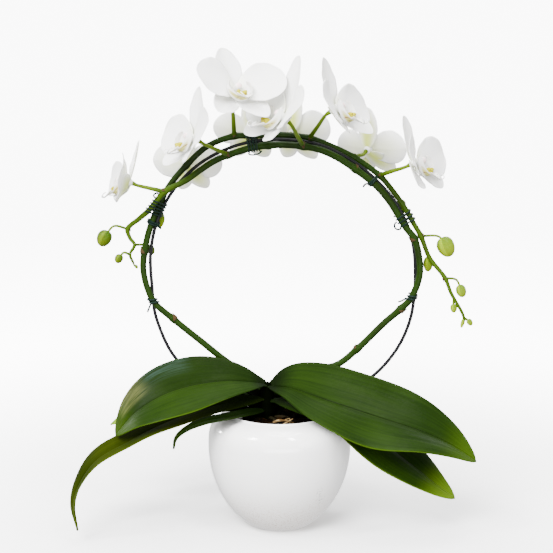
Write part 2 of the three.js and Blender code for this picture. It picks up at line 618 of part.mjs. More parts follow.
// A flower stalk: from the spike to just behind the middle of the bloom
function stalkSolid(bloom, spike) {
  const frame = bloomFrame(bloom);
  const from = onRoute(spike, bloom.from);
  const end = V(0, 0, HUB.back - GAP).applyMatrix4(frame);
  const before = V(0, -STALK.below, HUB.back - STALK.behind).applyMatrix4(frame);
  const curve = through([from, from.clone().lerp(before, STALK.straight), before, end]);
  return toSolid(stem(curve, (t) => mix(STALK.base, STALK.top, t), STALK.sides,
    evenShares(STALK.rings)));
}

function budSolid(bud) {
  const [root, bend, middle] = [bud.from, bud.via, bud.at].map((place) => byHoop(...place));
  const [length, width] = bud.size;
  const towards = middle.clone().sub(bend).normalize().add(V(0, 0, -BUD.nod));
  const stalk = stem(through([root, bend, middle]), () => Math.min(BUD.stalk, width / 4),
    BUD.stalkSides, evenShares(BUD.stalkRings));
  return ellipsoid(middle, [width / 2, length / 2, width / 2], towards, BUD.sides, BUD.rows)
    .add(toSolid(stalk));
}

// The curve of a spike, the shares of its nodes, and its radius, which swells at each node
function spikeCourse(spike) {
  const curve = through([...spike.start, ...spike.route.map((place) => byHoop(...place))]);
  const length = curve.getLength();
  const nodes = spike.nodes.map((angle) => nearestShare(curve, onRoute(spike, angle)));
  const radiusAt = (share) => alongList(spike.radius, share) * nodes.reduce((swell, node) => (
    swell + NODE_SWELL * Math.max(0, 1 - Math.abs(share - node) * length / NODE_HALF_LENGTH)), 1);
  return { curve, length, nodes, radiusAt };
}

function spikeSolid(spike, side) {
  const { curve, length, nodes, radiusAt } = spikeCourse(spike);
  const margin = NODE_HALF_LENGTH / length;
  const nearNode = (share) => nodes.some((node) => Math.abs(share - node) < 1.4 * margin);
  const tail = [...BUDS[side].map((bud) => byHoop(...bud.from)),
    ...spike.tied.map((angle) => onRoute(spike, angle))].map((point) => nearestShare(curve, point))
    .filter((share) => !nearNode(share) && share < 1);
  const nearTail = (share) => tail.some((end) => Math.abs(share - end) < margin * 0.5);
  const shares = [
    ...evenShares(SPIKE_RINGS).filter((share) => share === 0 || share === 1
      || !(nearNode(share) || nearTail(share))),
    ...nodes.flatMap((node) => [node - margin, node, node + margin]),
    ...tail,
  ].sort((a, b) => a - b).filter((share, place, all) => place === 0 || share - all[place - 1] > 1e-3);
  return joinAll([
    toSolid(stem(curve, radiusAt, SPIKE_SIDES, shares)),
    ...BUDS[side].map(budSolid),
    ...BLOOMS.filter((bloom) => bloom.spike === side).map((bloom) => stalkSolid(bloom, spike)),
  ]);
}

// The stem and its roots. A root leaves the stem, bends over and goes down into the bark.
const ROOTS = [
  [V(-11, -6, 110), V(-6, -17, 112), V(0, -26, 107), V(3, -29, 96), V(3, -29, 74)],
  [V(-13, -4, 109), V(-22, -12, 111), V(-28, -16, 106), V(-29, -17, 96), V(-27, -16, 72)],
  [V(-11, -4, 109), V(3, -8, 112), V(14, -12, 108), V(17, -13, 97), V(16, -12, 66)],
  [V(-12, -2, 108), V(-15, 10, 113), V(-15, 20, 108), V(-13, 22, 95), V(-11, 21, 68)],
];
const ROOT = { radius: 2.4, thinning: 0.3, sides: 5, rings: 6 };

// With extra above 0, the same shape swollen: the room that its neighbours leave for it
function stemAndRoots(extra) {
  const { x, y, radius, bottom, top } = CROWN;
  const trunk = turned([[0, bottom - extra], [radius * 0.6 + extra, bottom - extra],
    [radius + extra, bottom + 10], [radius + extra, top - 22], [radius * 0.85 + extra, top - 10],
    [radius * 0.5 + extra, top - 2 + extra], [0, top + extra]], CROWN.sides);
  trunk.translate(x, y, 0);
  const roots = ROOTS.map((points) => {
    const radiusAt = (t) => ROOT.radius * (1 - ROOT.thinning * t) + extra;
    return toSolid(stem(through(points), radiusAt, ROOT.sides, evenShares(ROOT.rings)));
  });
  return joinAll([toSolid(trunk), ...roots]);
}

// The bark: a mound that fills the grow pot, with chips of bark lying on it, and plain holes where
// the stem, the roots and the hoop's legs stand in it
function barkSolid(holes) {
  const inner = GROW_TOP_RADIUS - GROW_WALL - GAP;
  const foot = GROW_FOOT_RADIUS - GROW_WALL - GAP;
  const floor = GROW_BOTTOM_Z + GROW_WALL + GAP;
  const mound = toSolid(turned([[0, floor], [foot, floor], [inner - 0.8, BARK_TOP_Z - 7],
    [inner - 2, BARK_TOP_Z - 3], [inner * 0.6, BARK_TOP_Z + BARK_MOUND * 0.6],
    [0, BARK_TOP_Z + BARK_MOUND]], GROW_SEGMENTS));
  const draw = seededDraw(CHIPS.seed);
  const within = ([least, most]) => mix(least, most, draw());
  const chips = Array.from({ length: CHIPS.count }, (_, chip) => {
    const angle = chip * CHIPS.turn;
    const radius = Math.sqrt((chip + 0.5) / CHIPS.count) * (inner - CHIPS.inset);
    const piece = new THREE.BoxGeometry(within(CHIP_LENGTH), within(CHIP_WIDTH), within(CHIP_HEIGHT));
    piece.rotateX(within([-CHIPS.tilt, CHIPS.tilt]));
    piece.rotateY(within([-CHIPS.tilt, CHIPS.tilt]));
    piece.rotateZ(within([0, Math.PI]));
    const height = BARK_TOP_Z + BARK_MOUND * (1 - radius / inner) + within([-CHIPS.sunk, CHIPS.raised]);
    piece.translate(Math.cos(angle) * radius, Math.sin(angle) * radius, height);
    return toSolid(piece);
  });
  return holes.reduce((left, hole) => left.subtract(hole), joinAll([mound, ...chips]));
}

// The ties. Each winds round the hoop and the spikes that it holds: the angle of its middle on the
// hoop, the number of turns, the length that they take along the hoop, where round the bundle the
// first turn starts in degrees, the wire's radius, and the places that its loose end runs through.
const TIES = [
  { name: 'tie_top', angle: 102.5, turns: 4, run: 11, first: 150, wire: 0.7, holds: ['left', 'right'],
    end: [[105.4, -11.8, 4.6], [104, -14.6, 4.2], [101, -14.8, 4], [99.4, -12, 3.6]] },
  { name: 'tie_left_coil', angle: 151, turns: 5, run: -15, first: 60, wire: 0.7,
    holds: ['left', 'right'], end: [[147.2, 15, 10], [147, 18.4, 8.6], [148.8, 18.6, 7.6]] },
  { name: 'tie_left_clip', angle: 159.8, turns: 2, run: 4, first: 190, wire: 0.9, holds: ['left'],
    end: [[161.4, -6, 0.4], [161.8, -9, 1]] },
  { name: 'tie_left_low', angle: -168.8, turns: 2, run: 6, first: -20, wire: 0.8, holds: ['left'],
    end: [[-166, 2.4, 0.4], [-164.6, 4.8, 1.6]] },
  { name: 'tie_right_clip', angle: 46.6, turns: 2, run: 4, first: 200, wire: 0.8, holds: ['right'],
    end: [[48.2, -13.6, 2.6], [48, -16.6, 2.6]] },
  { name: 'tie_right_coil', angle: 25.4, turns: 3, run: -13, first: 180, wire: 0.75,
    holds: ['left', 'right'],
    end: [[22.2, -11.6, 5.4], [21.9, -16, 5.4], [19.8, -16.6, 5.2], [19.2, -12.4, 5]] },
  { name: 'tie_right_low', angle: -9.2, turns: 2, run: -6, first: 190, wire: 0.8, holds: ['right'],
    end: [[-12, -13.6, 4.4], [-12.8, -16.8, 4.4]] },
];
const TIE_POINTS_PER_TURN = 12;
const TIE_SIDES = 4;
const TIE_ROOM = 1.1;
const CROSSING_SHARES = 600;

// The round things that a tie goes round at an angle: the hoop's wire and the spikes that it holds,
// each with how far out and in front its middle is and its radius, which is wider where it runs
// askew to the hoop
const HOOP_COURSE = { curve: hoopCurve(), radiusAt: () => HOOP.wire };
const COURSES = { left: spikeCourse(SPIKE_LEFT), right: spikeCourse(SPIKE_RIGHT) };

function crossing({ curve, radiusAt }, angle) {
  const apart = (share) => {
    const point = curve.getPointAt(share);
    const turn = THREE.MathUtils.radToDeg(Math.atan2(point.z - HOOP.z, point.x - HOOP.x));
    return Math.abs(THREE.MathUtils.euclideanModulo(turn - angle + 180, 360) - 180);
  };
  const share = evenShares(CROSSING_SHARES)
    .reduce((best, next) => (apart(next) < apart(best) ? next : best), 0.5);
  const point = curve.getPointAt(share);
  const out = Math.hypot(point.x - HOOP.x, point.z - HOOP.z) - HOOP.radius;
  const roundHoop = V(-Math.sin(radians(angle)), 0, Math.cos(radians(angle)));
  const askew = Math.abs(curve.getTangentAt(share).dot(roundHoop));
  return { out, front: HOOP.y - point.y, radius: radiusAt(share) / askew ** 3 };
}

// A turn lies on the outermost of the things that it goes round, in every direction
function tieSolid(tie) {
  const courses = [HOOP_COURSE, ...tie.holds.map((side) => COURSES[side])];
  const count = Math.round(tie.turns * TIE_POINTS_PER_TURN);
  const points = evenShares(count).map((share) => {
    const turn = radians(tie.first + share * tie.turns * 360);
    const angle = tie.angle + (share - 0.5) * THREE.MathUtils.radToDeg(tie.run / HOOP.radius);
    const [ahead, aside] = [Math.sin(turn), Math.cos(turn)];
    const reach = ({ out, front, radius }) => out * aside + front * ahead + radius;
    const held = courses.map((course) => crossing(course, angle))
      .reduce((best, next) => (reach(next) > reach(best) ? next : best));
    const room = held.radius + tie.wire + TIE_ROOM;
    return byHoop(angle, held.out + aside * room, held.front + ahead * room);
  });
  const curve = through([...points, ...tie.end.map((place) => byHoop(...place))]);
  return stem(curve, () => tie.wire, TIE_SIDES, evenShares(count + tie.end.length));
}

// The model: one mesh for each piece
const model = new THREE.Group();

function place(name, geometry, material) {
  const mesh = new THREE.Mesh(geometry, material);
  mesh.name = name;
  model.add(mesh);
}

place('ceramic_pot', turned(potOutline(), POT_SEGMENTS), materials.glaze);
place('grow_pot', turned(growPotOutline(), GROW_SEGMENTS), materials.plastic);

place('wire_hoop', stem(HOOP_COURSE.curve, HOOP_COURSE.radiusAt, HOOP_SIDES, evenShares(HOOP_RINGS)),
  materials.wire);

const crownRoom = stemAndRoots(GAP);
place('stem_and_roots', toGeometry(stemAndRoots(0)), materials.root);

const legHoles = [-1, 1].map((side) => {
  const { radius, depth, sides } = LEG_HOLE;
  const hole = new THREE.CylinderGeometry(radius, radius, depth, sides);
  hole.rotateX(Math.PI / 2);
  hole.translate(HOOP.x + side * HOOP.legX, HOOP.y, HOOP.legBottom - GAP + depth / 2);
  return toSolid(hole);
});
place('potting_bark', toGeometry(barkSolid([crownRoom, ...legHoles])), materials.bark);

Object.entries(LEAVES).forEach(([name, leaf]) => {
  const solid = toSolid(blade(leafSurface(leaf), LEAF_COLUMNS, LEAF_ROWS, leafThickness, gathered));
  place(name, toGeometry(solid.subtract(crownRoom)), leaf.old ? materials.leafOld : materials.leaf);
});

place('flower_spike_left', toGeometry(spikeSolid(SPIKE_LEFT, 'left').subtract(crownRoom)), materials.spike);
place('flower_spike_right', toGeometry(spikeSolid(SPIKE_RIGHT, 'right').subtract(crownRoom)), materials.spike);

BLOOMS.forEach((bloom) => {
  const frame = bloomFrame(bloom);
  const flower = toGeometry(bloomSolid(bloom));
  flower.applyMatrix4(frame);
  place(bloom.name, flower, materials.petal);
  const callus = callusGeometry(bloom.size);
  callus.applyMatrix4(frame);
  place(bloom.name.replace('bloom', 'callus'), callus, materials.callus);
});

TIES.forEach((tie) => place(tie.name, tieSolid(tie), materials.tie));

export default model;
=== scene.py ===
# %% [markdown]
# A potted moth orchid. The plant stands in a round white glazed pot. Six broad leaves arch out of
# it, and two flower spikes are tied round a black wire hoop, with ten white blooms along the top and
# buds at both ends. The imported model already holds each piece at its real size, with few faces. This
# lesson gives each piece a fine mesh in the same place, and a finish made of nodes.

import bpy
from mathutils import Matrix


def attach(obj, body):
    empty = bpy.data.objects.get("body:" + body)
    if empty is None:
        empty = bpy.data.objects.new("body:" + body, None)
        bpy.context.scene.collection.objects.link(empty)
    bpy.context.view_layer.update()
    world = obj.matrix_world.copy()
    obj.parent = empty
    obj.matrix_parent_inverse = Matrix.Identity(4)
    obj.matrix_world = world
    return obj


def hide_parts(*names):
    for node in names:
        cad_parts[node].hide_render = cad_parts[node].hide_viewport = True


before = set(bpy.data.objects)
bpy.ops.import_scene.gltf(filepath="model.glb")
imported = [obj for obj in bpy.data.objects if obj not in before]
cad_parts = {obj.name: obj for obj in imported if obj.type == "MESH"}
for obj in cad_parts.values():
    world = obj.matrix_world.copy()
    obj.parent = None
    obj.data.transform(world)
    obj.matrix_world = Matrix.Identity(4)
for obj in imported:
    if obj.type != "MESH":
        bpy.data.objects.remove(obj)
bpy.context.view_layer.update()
print("nodes in the frame:", len(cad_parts))

# %% [markdown]
# The camera comes first, so that every later look at the scene has the photograph's view. It stands
# 1.3 m in front of the plant, a little above the hoop's middle, and looks slightly down. The lens
# follows from the focal length in pixels of the square photograph: a lens of 36 mm sensor width
# whose image is 553 pixels wide.

# %% Camera
import math

import bpy
import numpy as np
from mathutils import Matrix, Vector

MM = 0.001
IMAGE_SIDE = 553
FOCAL_PIXELS = 1322
SENSOR_WIDTH = 36
CAMERA_PLACE = (-3, -1300, 460)
CAMERA_DOWN = 9

camera_data = bpy.data.cameras.new("camera")
camera_data.sensor_width = SENSOR_WIDTH
camera_data.lens = SENSOR_WIDTH * FOCAL_PIXELS / IMAGE_SIDE
camera = bpy.data.objects.new("camera", camera_data)
camera.location = Vector(CAMERA_PLACE) * MM
camera.rotation_euler = (math.radians(90 - CAMERA_DOWN), 0, 0)
bpy.context.scene.collection.objects.link(camera)
bpy.context.scene.camera = camera
print("lens:", round(camera_data.lens, 2), "mm")

# %% [markdown]
# A few short functions are used by every piece. Each works on whole arrays of numbers at once, which
# keeps thousands of points quick to make.

# %% Numbers and vectors
def mixed(low, high, share):
    """A value part of the way from low to high."""
    return low + (high - low) * share


def eased(share):
    """0 to 1 with a soft start and a soft end."""
    share = np.clip(share, 0, 1)
    return share * share * (3 - 2 * share)


def unit(vectors):
    """The same directions, one long."""
    return vectors / np.linalg.norm(vectors, axis=-1, keepdims=True)


def seeded_draw(seed):
    """Draws between 0 and 1 that come out the same on every run."""
    state = seed
    while True:
        state = (state * 1664525 + 1013904223) % 4294967296
        yield state / 4294967296


# %% [markdown]
# Stems, wires and leaves all follow a smooth path through a few points. Blender's own curves could
# do it, but a leaf needs to know which way is across at each point of the path. So the path is
# walked in small steps, and a sideways arrow is carried along without twisting.

# %% Smooth paths
def bend_through(before, first, second, after, walk):
    """Points from first to second on the curve that also takes in the two neighbours."""
    gaps = [max(np.linalg.norm(b - a), 1e-4) ** 0.5
            for a, b in ((before, first), (first, second), (second, after))]
    leave = (first - before) / gaps[0] - (second - before) / (gaps[0] + gaps[1])
    leave = (leave + (second - first) / gaps[1]) * gaps[1]
    arrive = (second - first) / gaps[1] - (after - first) / (gaps[1] + gaps[2])
    arrive = (arrive + (after - second) / gaps[2]) * gaps[1]
    bend = 3 * (second - first) - 2 * leave - arrive
    swing = 2 * (first - second) + leave + arrive
    return first + leave * walk + bend * walk ** 2 + swing * walk ** 3


class Route:
    """A smooth path through points, walked by shares of its length."""

    def __init__(self, points, steps=24):
        points = np.array(points, float)
        around = np.vstack([2 * points[0] - points[1], points, 2 * points[-1] - points[-2]])
        walk = np.linspace(0, 1, steps, endpoint=False)[:, None]
        stretches = [bend_through(*around[i:i + 4], walk) for i in range(len(points) - 1)]
        self.points = np.vstack([*stretches, points[-1]])
        lengths = np.linalg.norm(np.diff(self.points, axis=0), axis=1)
        self.length = lengths.sum()
        self.shares = np.concatenate([[0], np.cumsum(lengths)]) / self.length
        self.ways = unit(np.gradient(self.points, self.shares, axis=0))
        self.carry_side()

    def carry_side(self):
        """Finds the arrow that points across the path at each step."""
        level = np.cross(self.ways[0], (0, 0, 1))
        if np.linalg.norm(level) < 0.01:
            level = np.array((1.0, 0, 0))
        side = unit(level)
        sides = []
        for way in self.ways:
            side = unit(side - way * side.dot(way))
            sides.append(side)
        self.sides = np.array(sides)
        self.normals = np.cross(self.sides, self.ways)

    def at(self, share):
        """Point, side, normal and way at a share of the length, or at an array of them."""
        share = np.clip(share, 0, 1)
        return [np.stack([np.interp(share, self.shares, column) for column in rows.T], -1)
                for rows in (self.points, self.sides, self.normals, self.ways)]

    def nearest(self, point):
        """The share of the length where the path is nearest to a point."""
        gaps = np.linalg.norm(self.points - np.array(point, float), axis=1)
        return self.shares[gaps.argmin()]


# %% [markdown]
# A piece is gathered part by part and becomes one mesh at the end. Beside its place, each point
# carries three marks that its finish can read: how far across the part it is, how far along it, and
# whether it lies on the front or the back face. Markings that follow a vein or a margin need this,
# and it costs less than unwrapping a texture.

# %% Gathering a piece
class Shape:
    """Points and faces of one piece, with marks for its finish."""

    MARKS = ("across", "along", "face")

    def __init__(self):
        self.points = []
        self.faces = []
        self.slots = []
        self.smooth = []
        self.marks = {mark: [] for mark in self.MARKS}
        self.count = 0

    def add(self, points, faces, slot=0, smooth=True, **marks):
        """Adds a part: its points in millimetres, its faces and its marks."""
        points = np.array(points, float).reshape(-1, 3)
        self.points.append(points)
        self.faces.extend(tuple(int(p) + self.count for p in face) for face in faces)
        self.slots.extend([slot] * len(faces))
        self.smooth.extend([smooth] * len(faces))
        for mark in self.MARKS:
            value = np.broadcast_to(marks.get(mark, 0.0), len(points))
            self.marks[mark].append(value)
        self.count += len(points)

    def piece(self, name, finishes, slot, *nodes):
        """Makes the piece, which takes the place of the named nodes."""
        mesh = bpy.data.meshes.new(name)
        points = np.vstack(self.points) * MM
        mesh.from_pydata(points.tolist(), [], self.faces)
        mesh.polygons.foreach_set("material_index", self.slots)
        mesh.polygons.foreach_set("use_smooth", self.smooth)
        for mark in self.MARKS:
            values = np.concatenate(self.marks[mark]).astype(np.float32)
            mesh.attributes.new(mark, "FLOAT", "POINT").data.foreach_set("value", values)
        for finish in finishes:
            mesh.materials.append(finish.material)
        mesh.update()
        made = bpy.data.objects.new(name, mesh)
        bpy.context.scene.collection.objects.link(made)
        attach(made, "root")
        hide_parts(*nodes)
        print(f"{name}: {len(self.faces)} faces")
        return made


# %% [markdown]
# Three kinds of part make the whole plant. A tube follows a path and is round. A blade is a thin
# closed sheet with a front, a back and a rounded edge. A turned part is a profile spun about an axis.

# %% Tubes, blades and turned parts
def side_faces(rows, sides):
    """The faces between each ring of points and the next."""
    faces = []
    for row in range(rows - 1):
        for k in range(sides):
            a = row * sides + k
            b = row * sides + (k + 1) % sides
            faces.append((a, b, b + sides, a + sides))
    return faces


def end_faces(rows, sides):
    """A fan at each end. The two end points come after all the rings."""
    start = rows * sides
    last = (rows - 1) * sides
    faces = []
    for k in range(sides):
        after = (k + 1) % sides
        faces.append((start, after, k))
        faces.append((start + 1, last + k, last + after))
    return faces


def add_tube(shape, route, radius, sides, shares, slot=0):
    """A round stem with softly closed ends. radius is a function of the share of its length."""
    shares = np.array(shares, float)
    point, side, normal, way = route.at(shares)
    radii = np.broadcast_to(radius(shares), shares.shape)
    turn = np.linspace(0, 2 * math.pi, sides, endpoint=False)
    ring = side[:, None] * np.cos(turn)[None, :, None] - normal[:, None] * np.sin(turn)[None, :, None]
    rings = point[:, None] + ring * radii[:, None, None]
    start = point[0] - way[0] * radii[0] * 0.5
    end = point[-1] + way[-1] * radii[-1] * 0.5
    points = np.vstack([rings.reshape(-1, 3), start, end])
    rows = len(shares)
    faces = side_faces(rows, sides) + end_faces(rows, sides)
    along = np.concatenate([np.repeat(shares, sides), [shares[0], shares[-1]]])
    across = np.concatenate([np.tile(turn / (2 * math.pi), rows), [0, 0]])
    shape.add(points, faces, slot, across=across, along=along)


EDGE_ROUND = 0.8


def add_blade(shape, surface, columns, rows, thickness, slot=0, row_at=lambda row: row):
    """A thin closed sheet on surface(across, along), across from -1 to 1 and along from 0 to 1."""
    across, along = np.meshgrid(np.linspace(-1, 1, columns + 1),
                                row_at(np.linspace(0, 1, rows + 1)))
    step = 1e-3
    middle = surface(across, along)
    over = surface(np.minimum(across + step, 1), along) - surface(np.maximum(across - step, -1), along)
    up = surface(across, np.minimum(along + step, 1)) - surface(across, np.maximum(along - step, 0))
    half = (thickness(across, along) / 2)[..., None] * np.ones_like(middle)
    lift = unit(np.cross(over, up)) * half
    wide = columns + 1
    total = wide * (rows + 1)
    loop = [(0, c) for c in range(columns)] + [(r, columns) for r in range(rows)]
    loop += [(rows, c) for c in range(columns, 0, -1)] + [(r, 0) for r in range(rows, 0, -1)]
    edge = np.array([r * wide + c for r, c in loop])
    inner = np.array([min(max(r, 1), rows - 1) * wide + min(max(c, 1), columns - 1) for r, c in loop])
    flat = middle.reshape(-1, 3)
    rim = flat[edge] + unit(flat[edge] - flat[inner]) * half.reshape(-1, 3)[edge] * EDGE_ROUND
    points = np.vstack([(middle + lift).reshape(-1, 3), (middle - lift).reshape(-1, 3), rim])
    faces = []
    for r in range(rows):
        for c in range(columns):
            a = r * wide + c
            corners = (a, a + 1, a + wide + 1, a + wide)
            faces.append(corners)
            faces.append(tuple(p + total for p in reversed(corners)))
    for k, i in enumerate(edge):
        n = (k + 1) % len(edge)
        j = edge[n]
        faces.append((j, i, 2 * total + k, 2 * total + n))
        faces.append((2 * total + n, 2 * total + k, i + total, j + total))
    both = lambda mark: np.concatenate([mark.ravel(), mark.ravel(), mark.ravel()[edge]])
    face = np.concatenate([np.ones(total), np.zeros(total), np.full(len(edge), 0.5)])
    shape.add(points, faces, slot, across=both(across), along=both(along), face=face)


def add_turned(shape, profile, sides, basis=np.eye(3), centre=(0, 0, 0), slot=0, ribs=None):
    """A profile of (radius, height) points spun about basis[2]. ribs(turn) swells it sideways."""
    profile = np.array(profile, float)
    turn = np.linspace(0, 2 * math.pi, sides, endpoint=False)
    swell = ribs(turn) if ribs else np.ones(sides)
    ring = np.stack([np.cos(turn) * swell, np.sin(turn) * swell], -1)
    inner = profile[1:-1]
    flat = np.concatenate([inner[:, None, :1] * ring[None], np.repeat(inner[:, None, 1:], sides, 1)], -1)
    points = np.vstack([flat.reshape(-1, 3), (0, 0, profile[0, 1]), (0, 0, profile[-1, 1])])
    points = points @ np.array(basis, float) + np.array(centre, float)
    rows = len(inner)
    faces = side_faces(rows, sides) + end_faces(rows, sides)
    heights = np.concatenate([np.repeat(inner[:, 1], sides), profile[[0, -1], 1]])
    along = (heights - heights.min()) / max(np.ptp(heights), 1e-6)
    around = np.concatenate([np.tile(turn / (2 * math.pi), rows), [0, 0]])
    shape.add(points, faces, slot, across=around, along=along)


# %% [markdown]
# Every finish is one main shader with nodes in front of it. The helper below keeps the node code
# short: it adds a node, links what comes in and hands back what goes out. A number that is the same
# all over the surface goes straight on the shader's own socket.

# %% Finishes
def scaled(colour, share):
    """The same colour, darker or lighter."""
    return tuple(part * share for part in colour)


class Finish:
    """A material with one main shader, and short ways to add nodes to it."""

    def __init__(self, name, **sockets):
        self.material = bpy.data.materials.new(name)
        self.material.use_nodes = True
        self.tree = self.material.node_tree
        self.shader = self.tree.nodes["Principled BSDF"]
        for socket, value in sockets.items():
            self.shader.inputs[socket.replace("_", " ")].default_value = value

    def add(self, kind, feeds, **settings):
        """A node of one kind. feeds maps its inputs to values or to other nodes' outputs."""
        made = self.tree.nodes.new("ShaderNode" + kind)
        for key, value in settings.items():
            setattr(made, key, value)
        for place, value in feeds.items():
            if isinstance(value, bpy.types.NodeSocket):
                self.tree.links.new(value, made.inputs[place])
            else:
                made.inputs[place].default_value = value
        return made

    def mark(self, name):
        """One of the marks that the shape's points carry."""
        return self.add("Attribute", {}, attribute_name=name).outputs["Fac"]

    def height(self):
        """Height above the pot's foot, in metres."""
        place = self.add("TexCoord", {}).outputs["Object"]
        return self.add("SeparateXYZ", {0: place}).outputs["Z"]

    def noise(self, scale, detail=3.0, stretch=(1, 1, 1), rough=0.5):
        """Soft noise with about scale patches in a metre."""
        place = self.add("TexCoord", {}).outputs["Object"]
        place = self.add("Mapping", {"Vector": place, "Scale": stretch}).outputs[0]
        feeds = {"Vector": place, "Scale": scale, "Detail": detail, "Roughness": rough}
        return self.add("TexNoise", feeds).outputs["Fac"]

    def grain(self, across, along, scale, detail=3.0):
        """Noise laid along a blade: stretched by the marks across and along."""
        place = self.add("CombineXYZ", {0: self.times(self.mark("across"), across),
                                        1: self.times(self.mark("along"), along),
                                        2: self.noise(6, 0)}).outputs[0]
        feeds = {"Vector": place, "Scale": scale, "Detail": detail}
        return self.add("TexNoise", feeds).outputs["Fac"]

    def maths(self, operation, first, second=0.0, third=0.0):
        """One sum on numbers or on other nodes' outputs."""
        feeds = {0: first, 1: second, 2: third}
        return self.add("Math", feeds, operation=operation).outputs[0]

    def times(self, first, second):
        """One number or output times another."""
        return self.maths("MULTIPLY", first, second)

    def step(self, value, low, high):
        """0 below low and 1 above high, soft between."""
        feeds = {"Value": value, "From Min": low, "From Max": high}
        return self.add("MapRange", feeds, interpolation_type="SMOOTHSTEP").outputs["Result"]

    def between(self, value, rise, fall):
        """1 between two soft steps and 0 outside them. Each step is given as where it is 0 and 1."""
        return self.times(self.step(value, *rise), self.step(value, *fall))

    def blend(self, share, first, second):
        """One colour laid over another. Colours are red, green and blue."""
        feeds = {0: share}
        for place, colour in ((6, first), (7, second)):
            feeds[place] = (*colour, 1) if isinstance(colour, tuple) else colour
        return self.add("Mix", feeds, data_type="RGBA").outputs[2]

    def colour(self, value):
        """Links the finished colour to the shader."""
        self.tree.links.new(value, self.shader.inputs["Base Color"])

    def rough(self, value, low, high):
        """Roughness that follows a pattern, from low to high."""
        feeds = {"Value": value, "To Min": low, "To Max": high}
        made = self.add("MapRange", feeds).outputs["Result"]
        self.tree.links.new(made, self.shader.inputs["Roughness"])

    def bump(self, height, depth):
        """Small relief, depth in millimetres."""
        made = self.add("Bump", {"Height": height, "Distance": depth * MM}).outputs["Normal"]
        self.tree.links.new(made, self.shader.inputs["Normal"])


# %% [markdown]
# The stage is a pale studio: a round floor that curves up into a wall on all sides, so that no
# corner shows from any side. The paper glows, so that it comes out nearly as white as the
# photograph's ground. Only the camera sees it: light that is scattered or mirrored passes it by,
# because thin dark stems and glossy leaves would go pale if bright paper stood all round them.
#
# The plant is lit by an even sky and by large soft lights outside the picture. Three narrow panels
# stand in for windows, because the glossy pot shows them on its shoulder and side, and a wide low
# light reaches the lower part of the pot. The key light isn't mirrored, so it leaves no spot there.

# %% Stage
STUDIO_FLOOR = (0.001, 0.6, 1.4)
STUDIO_RADIUS = 2.6
STUDIO_BEND = 1.2
STUDIO_HEIGHT = 3.4
STUDIO_SIDES = 96
GLOW_REACH = (0.1, 1.0)
GLOW_STRENGTH = 8


def make_studio():
    """The floor and the wall, one turned sheet."""
    profile = [(radius, 0) for radius in STUDIO_FLOOR]
    for turn in np.linspace(0, math.pi / 2, 13):
        rise = STUDIO_BEND * (1 - math.cos(turn))
        profile.append((STUDIO_RADIUS + STUDIO_BEND * math.sin(turn), rise))
    profile.append((STUDIO_RADIUS + STUDIO_BEND, STUDIO_HEIGHT))
    around = np.linspace(0, 2 * math.pi, STUDIO_SIDES, endpoint=False)
    points = [(r * math.cos(a), r * math.sin(a), z) for r, z in profile for a in around]
    faces = [(a, d, c, b) for a, b, c, d in side_faces(len(profile), STUDIO_SIDES)]
    faces.append(tuple(range(STUDIO_SIDES)))
    mesh = bpy.data.meshes.new("studio")
    mesh.from_pydata(points, [], faces)
    mesh.shade_smooth()
    studio = bpy.data.objects.new("studio", mesh)
    bpy.context.scene.collection.objects.link(studio)
    paper = Finish("studio_paper", Roughness=0.9, Specular_IOR_Level=0.1)
    paper.colour(paper.blend(paper.noise(3, 2), (0.82, 0.82, 0.82), (0.86, 0.86, 0.86)))
    place = paper.add("TexCoord", {}).outputs["Object"]
    distance = paper.add("VectorMath", {0: place}, operation="LENGTH").outputs["Value"]
    glow = paper.times(paper.step(distance, *GLOW_REACH), GLOW_STRENGTH)
    paper.tree.links.new(glow, paper.shader.inputs["Emission Strength"])
    paper.shader.inputs["Emission Color"].default_value = (1, 1, 1, 1)
    mesh.materials.append(paper.material)
    studio.visible_diffuse = False
    studio.visible_glossy = False


make_studio()

# %% Lights
def soft_light(name, place, size, power, towards=(0, 0, 0.24)):
    """A flat panel of light that looks at a point of the plant."""
    data = bpy.data.lights.new(name, "AREA")
    data.shape = "RECTANGLE"
    data.size, data.size_y = size
    data.energy = power
    light = bpy.data.objects.new(name, data)
    light.location = place
    way = Vector(towards) - Vector(place)
    light.rotation_euler = way.to_track_quat("-Z", "Y").to_euler()
    bpy.context.scene.collection.objects.link(light)
    return light


WORLD_STRENGTH = 1.35
world = bpy.data.worlds.new("studio_sky")
world.use_nodes = True
world.node_tree.nodes["Background"].inputs["Color"].default_value = (1, 1, 1, 1)
world.node_tree.nodes["Background"].inputs["Strength"].default_value = WORLD_STRENGTH
bpy.context.scene.world = world
key = soft_light("key", (-0.7, -1.5, 1.5), (1.1, 1.1), 190)
key.visible_glossy = False
soft_light("fill", (1.4, -1.5, 1.0), (0.8, 1.2), 14)
soft_light("top", (0.1, 0.2, 2.3), (1.0, 1.0), 60)
soft_light("rear", (0.9, 1.7, 1.6), (1.0, 1.0), 20)
soft_light("window_right", (0.42, -0.7, 1.5), (0.14, 0.4), 14)
soft_light("low", (0.1, -1.5, 0.15), (1.6, 0.3), 18, (0, 0, 0.04))
soft_light("window_left", (-1.3, 0.75, 0.75), (0.16, 0.4), 12)
soft_light("window_above", (-0.95, -0.6, 1.45), (0.25, 0.4), 30, (-0.15, 0, 0.12))

# %% [markdown]
# The pot is glazed ceramic. Its outline is part of an ellipse below the widest line and a flatter
# curve above it, which turns in to a narrow rolled lip. A turned profile is the natural way to make
# it, as it was on the potter's wheel or in a mould. The glaze is white with a clear, even shine. Low
# down it is a little brown and speckled, and one side has faint grey smudges.

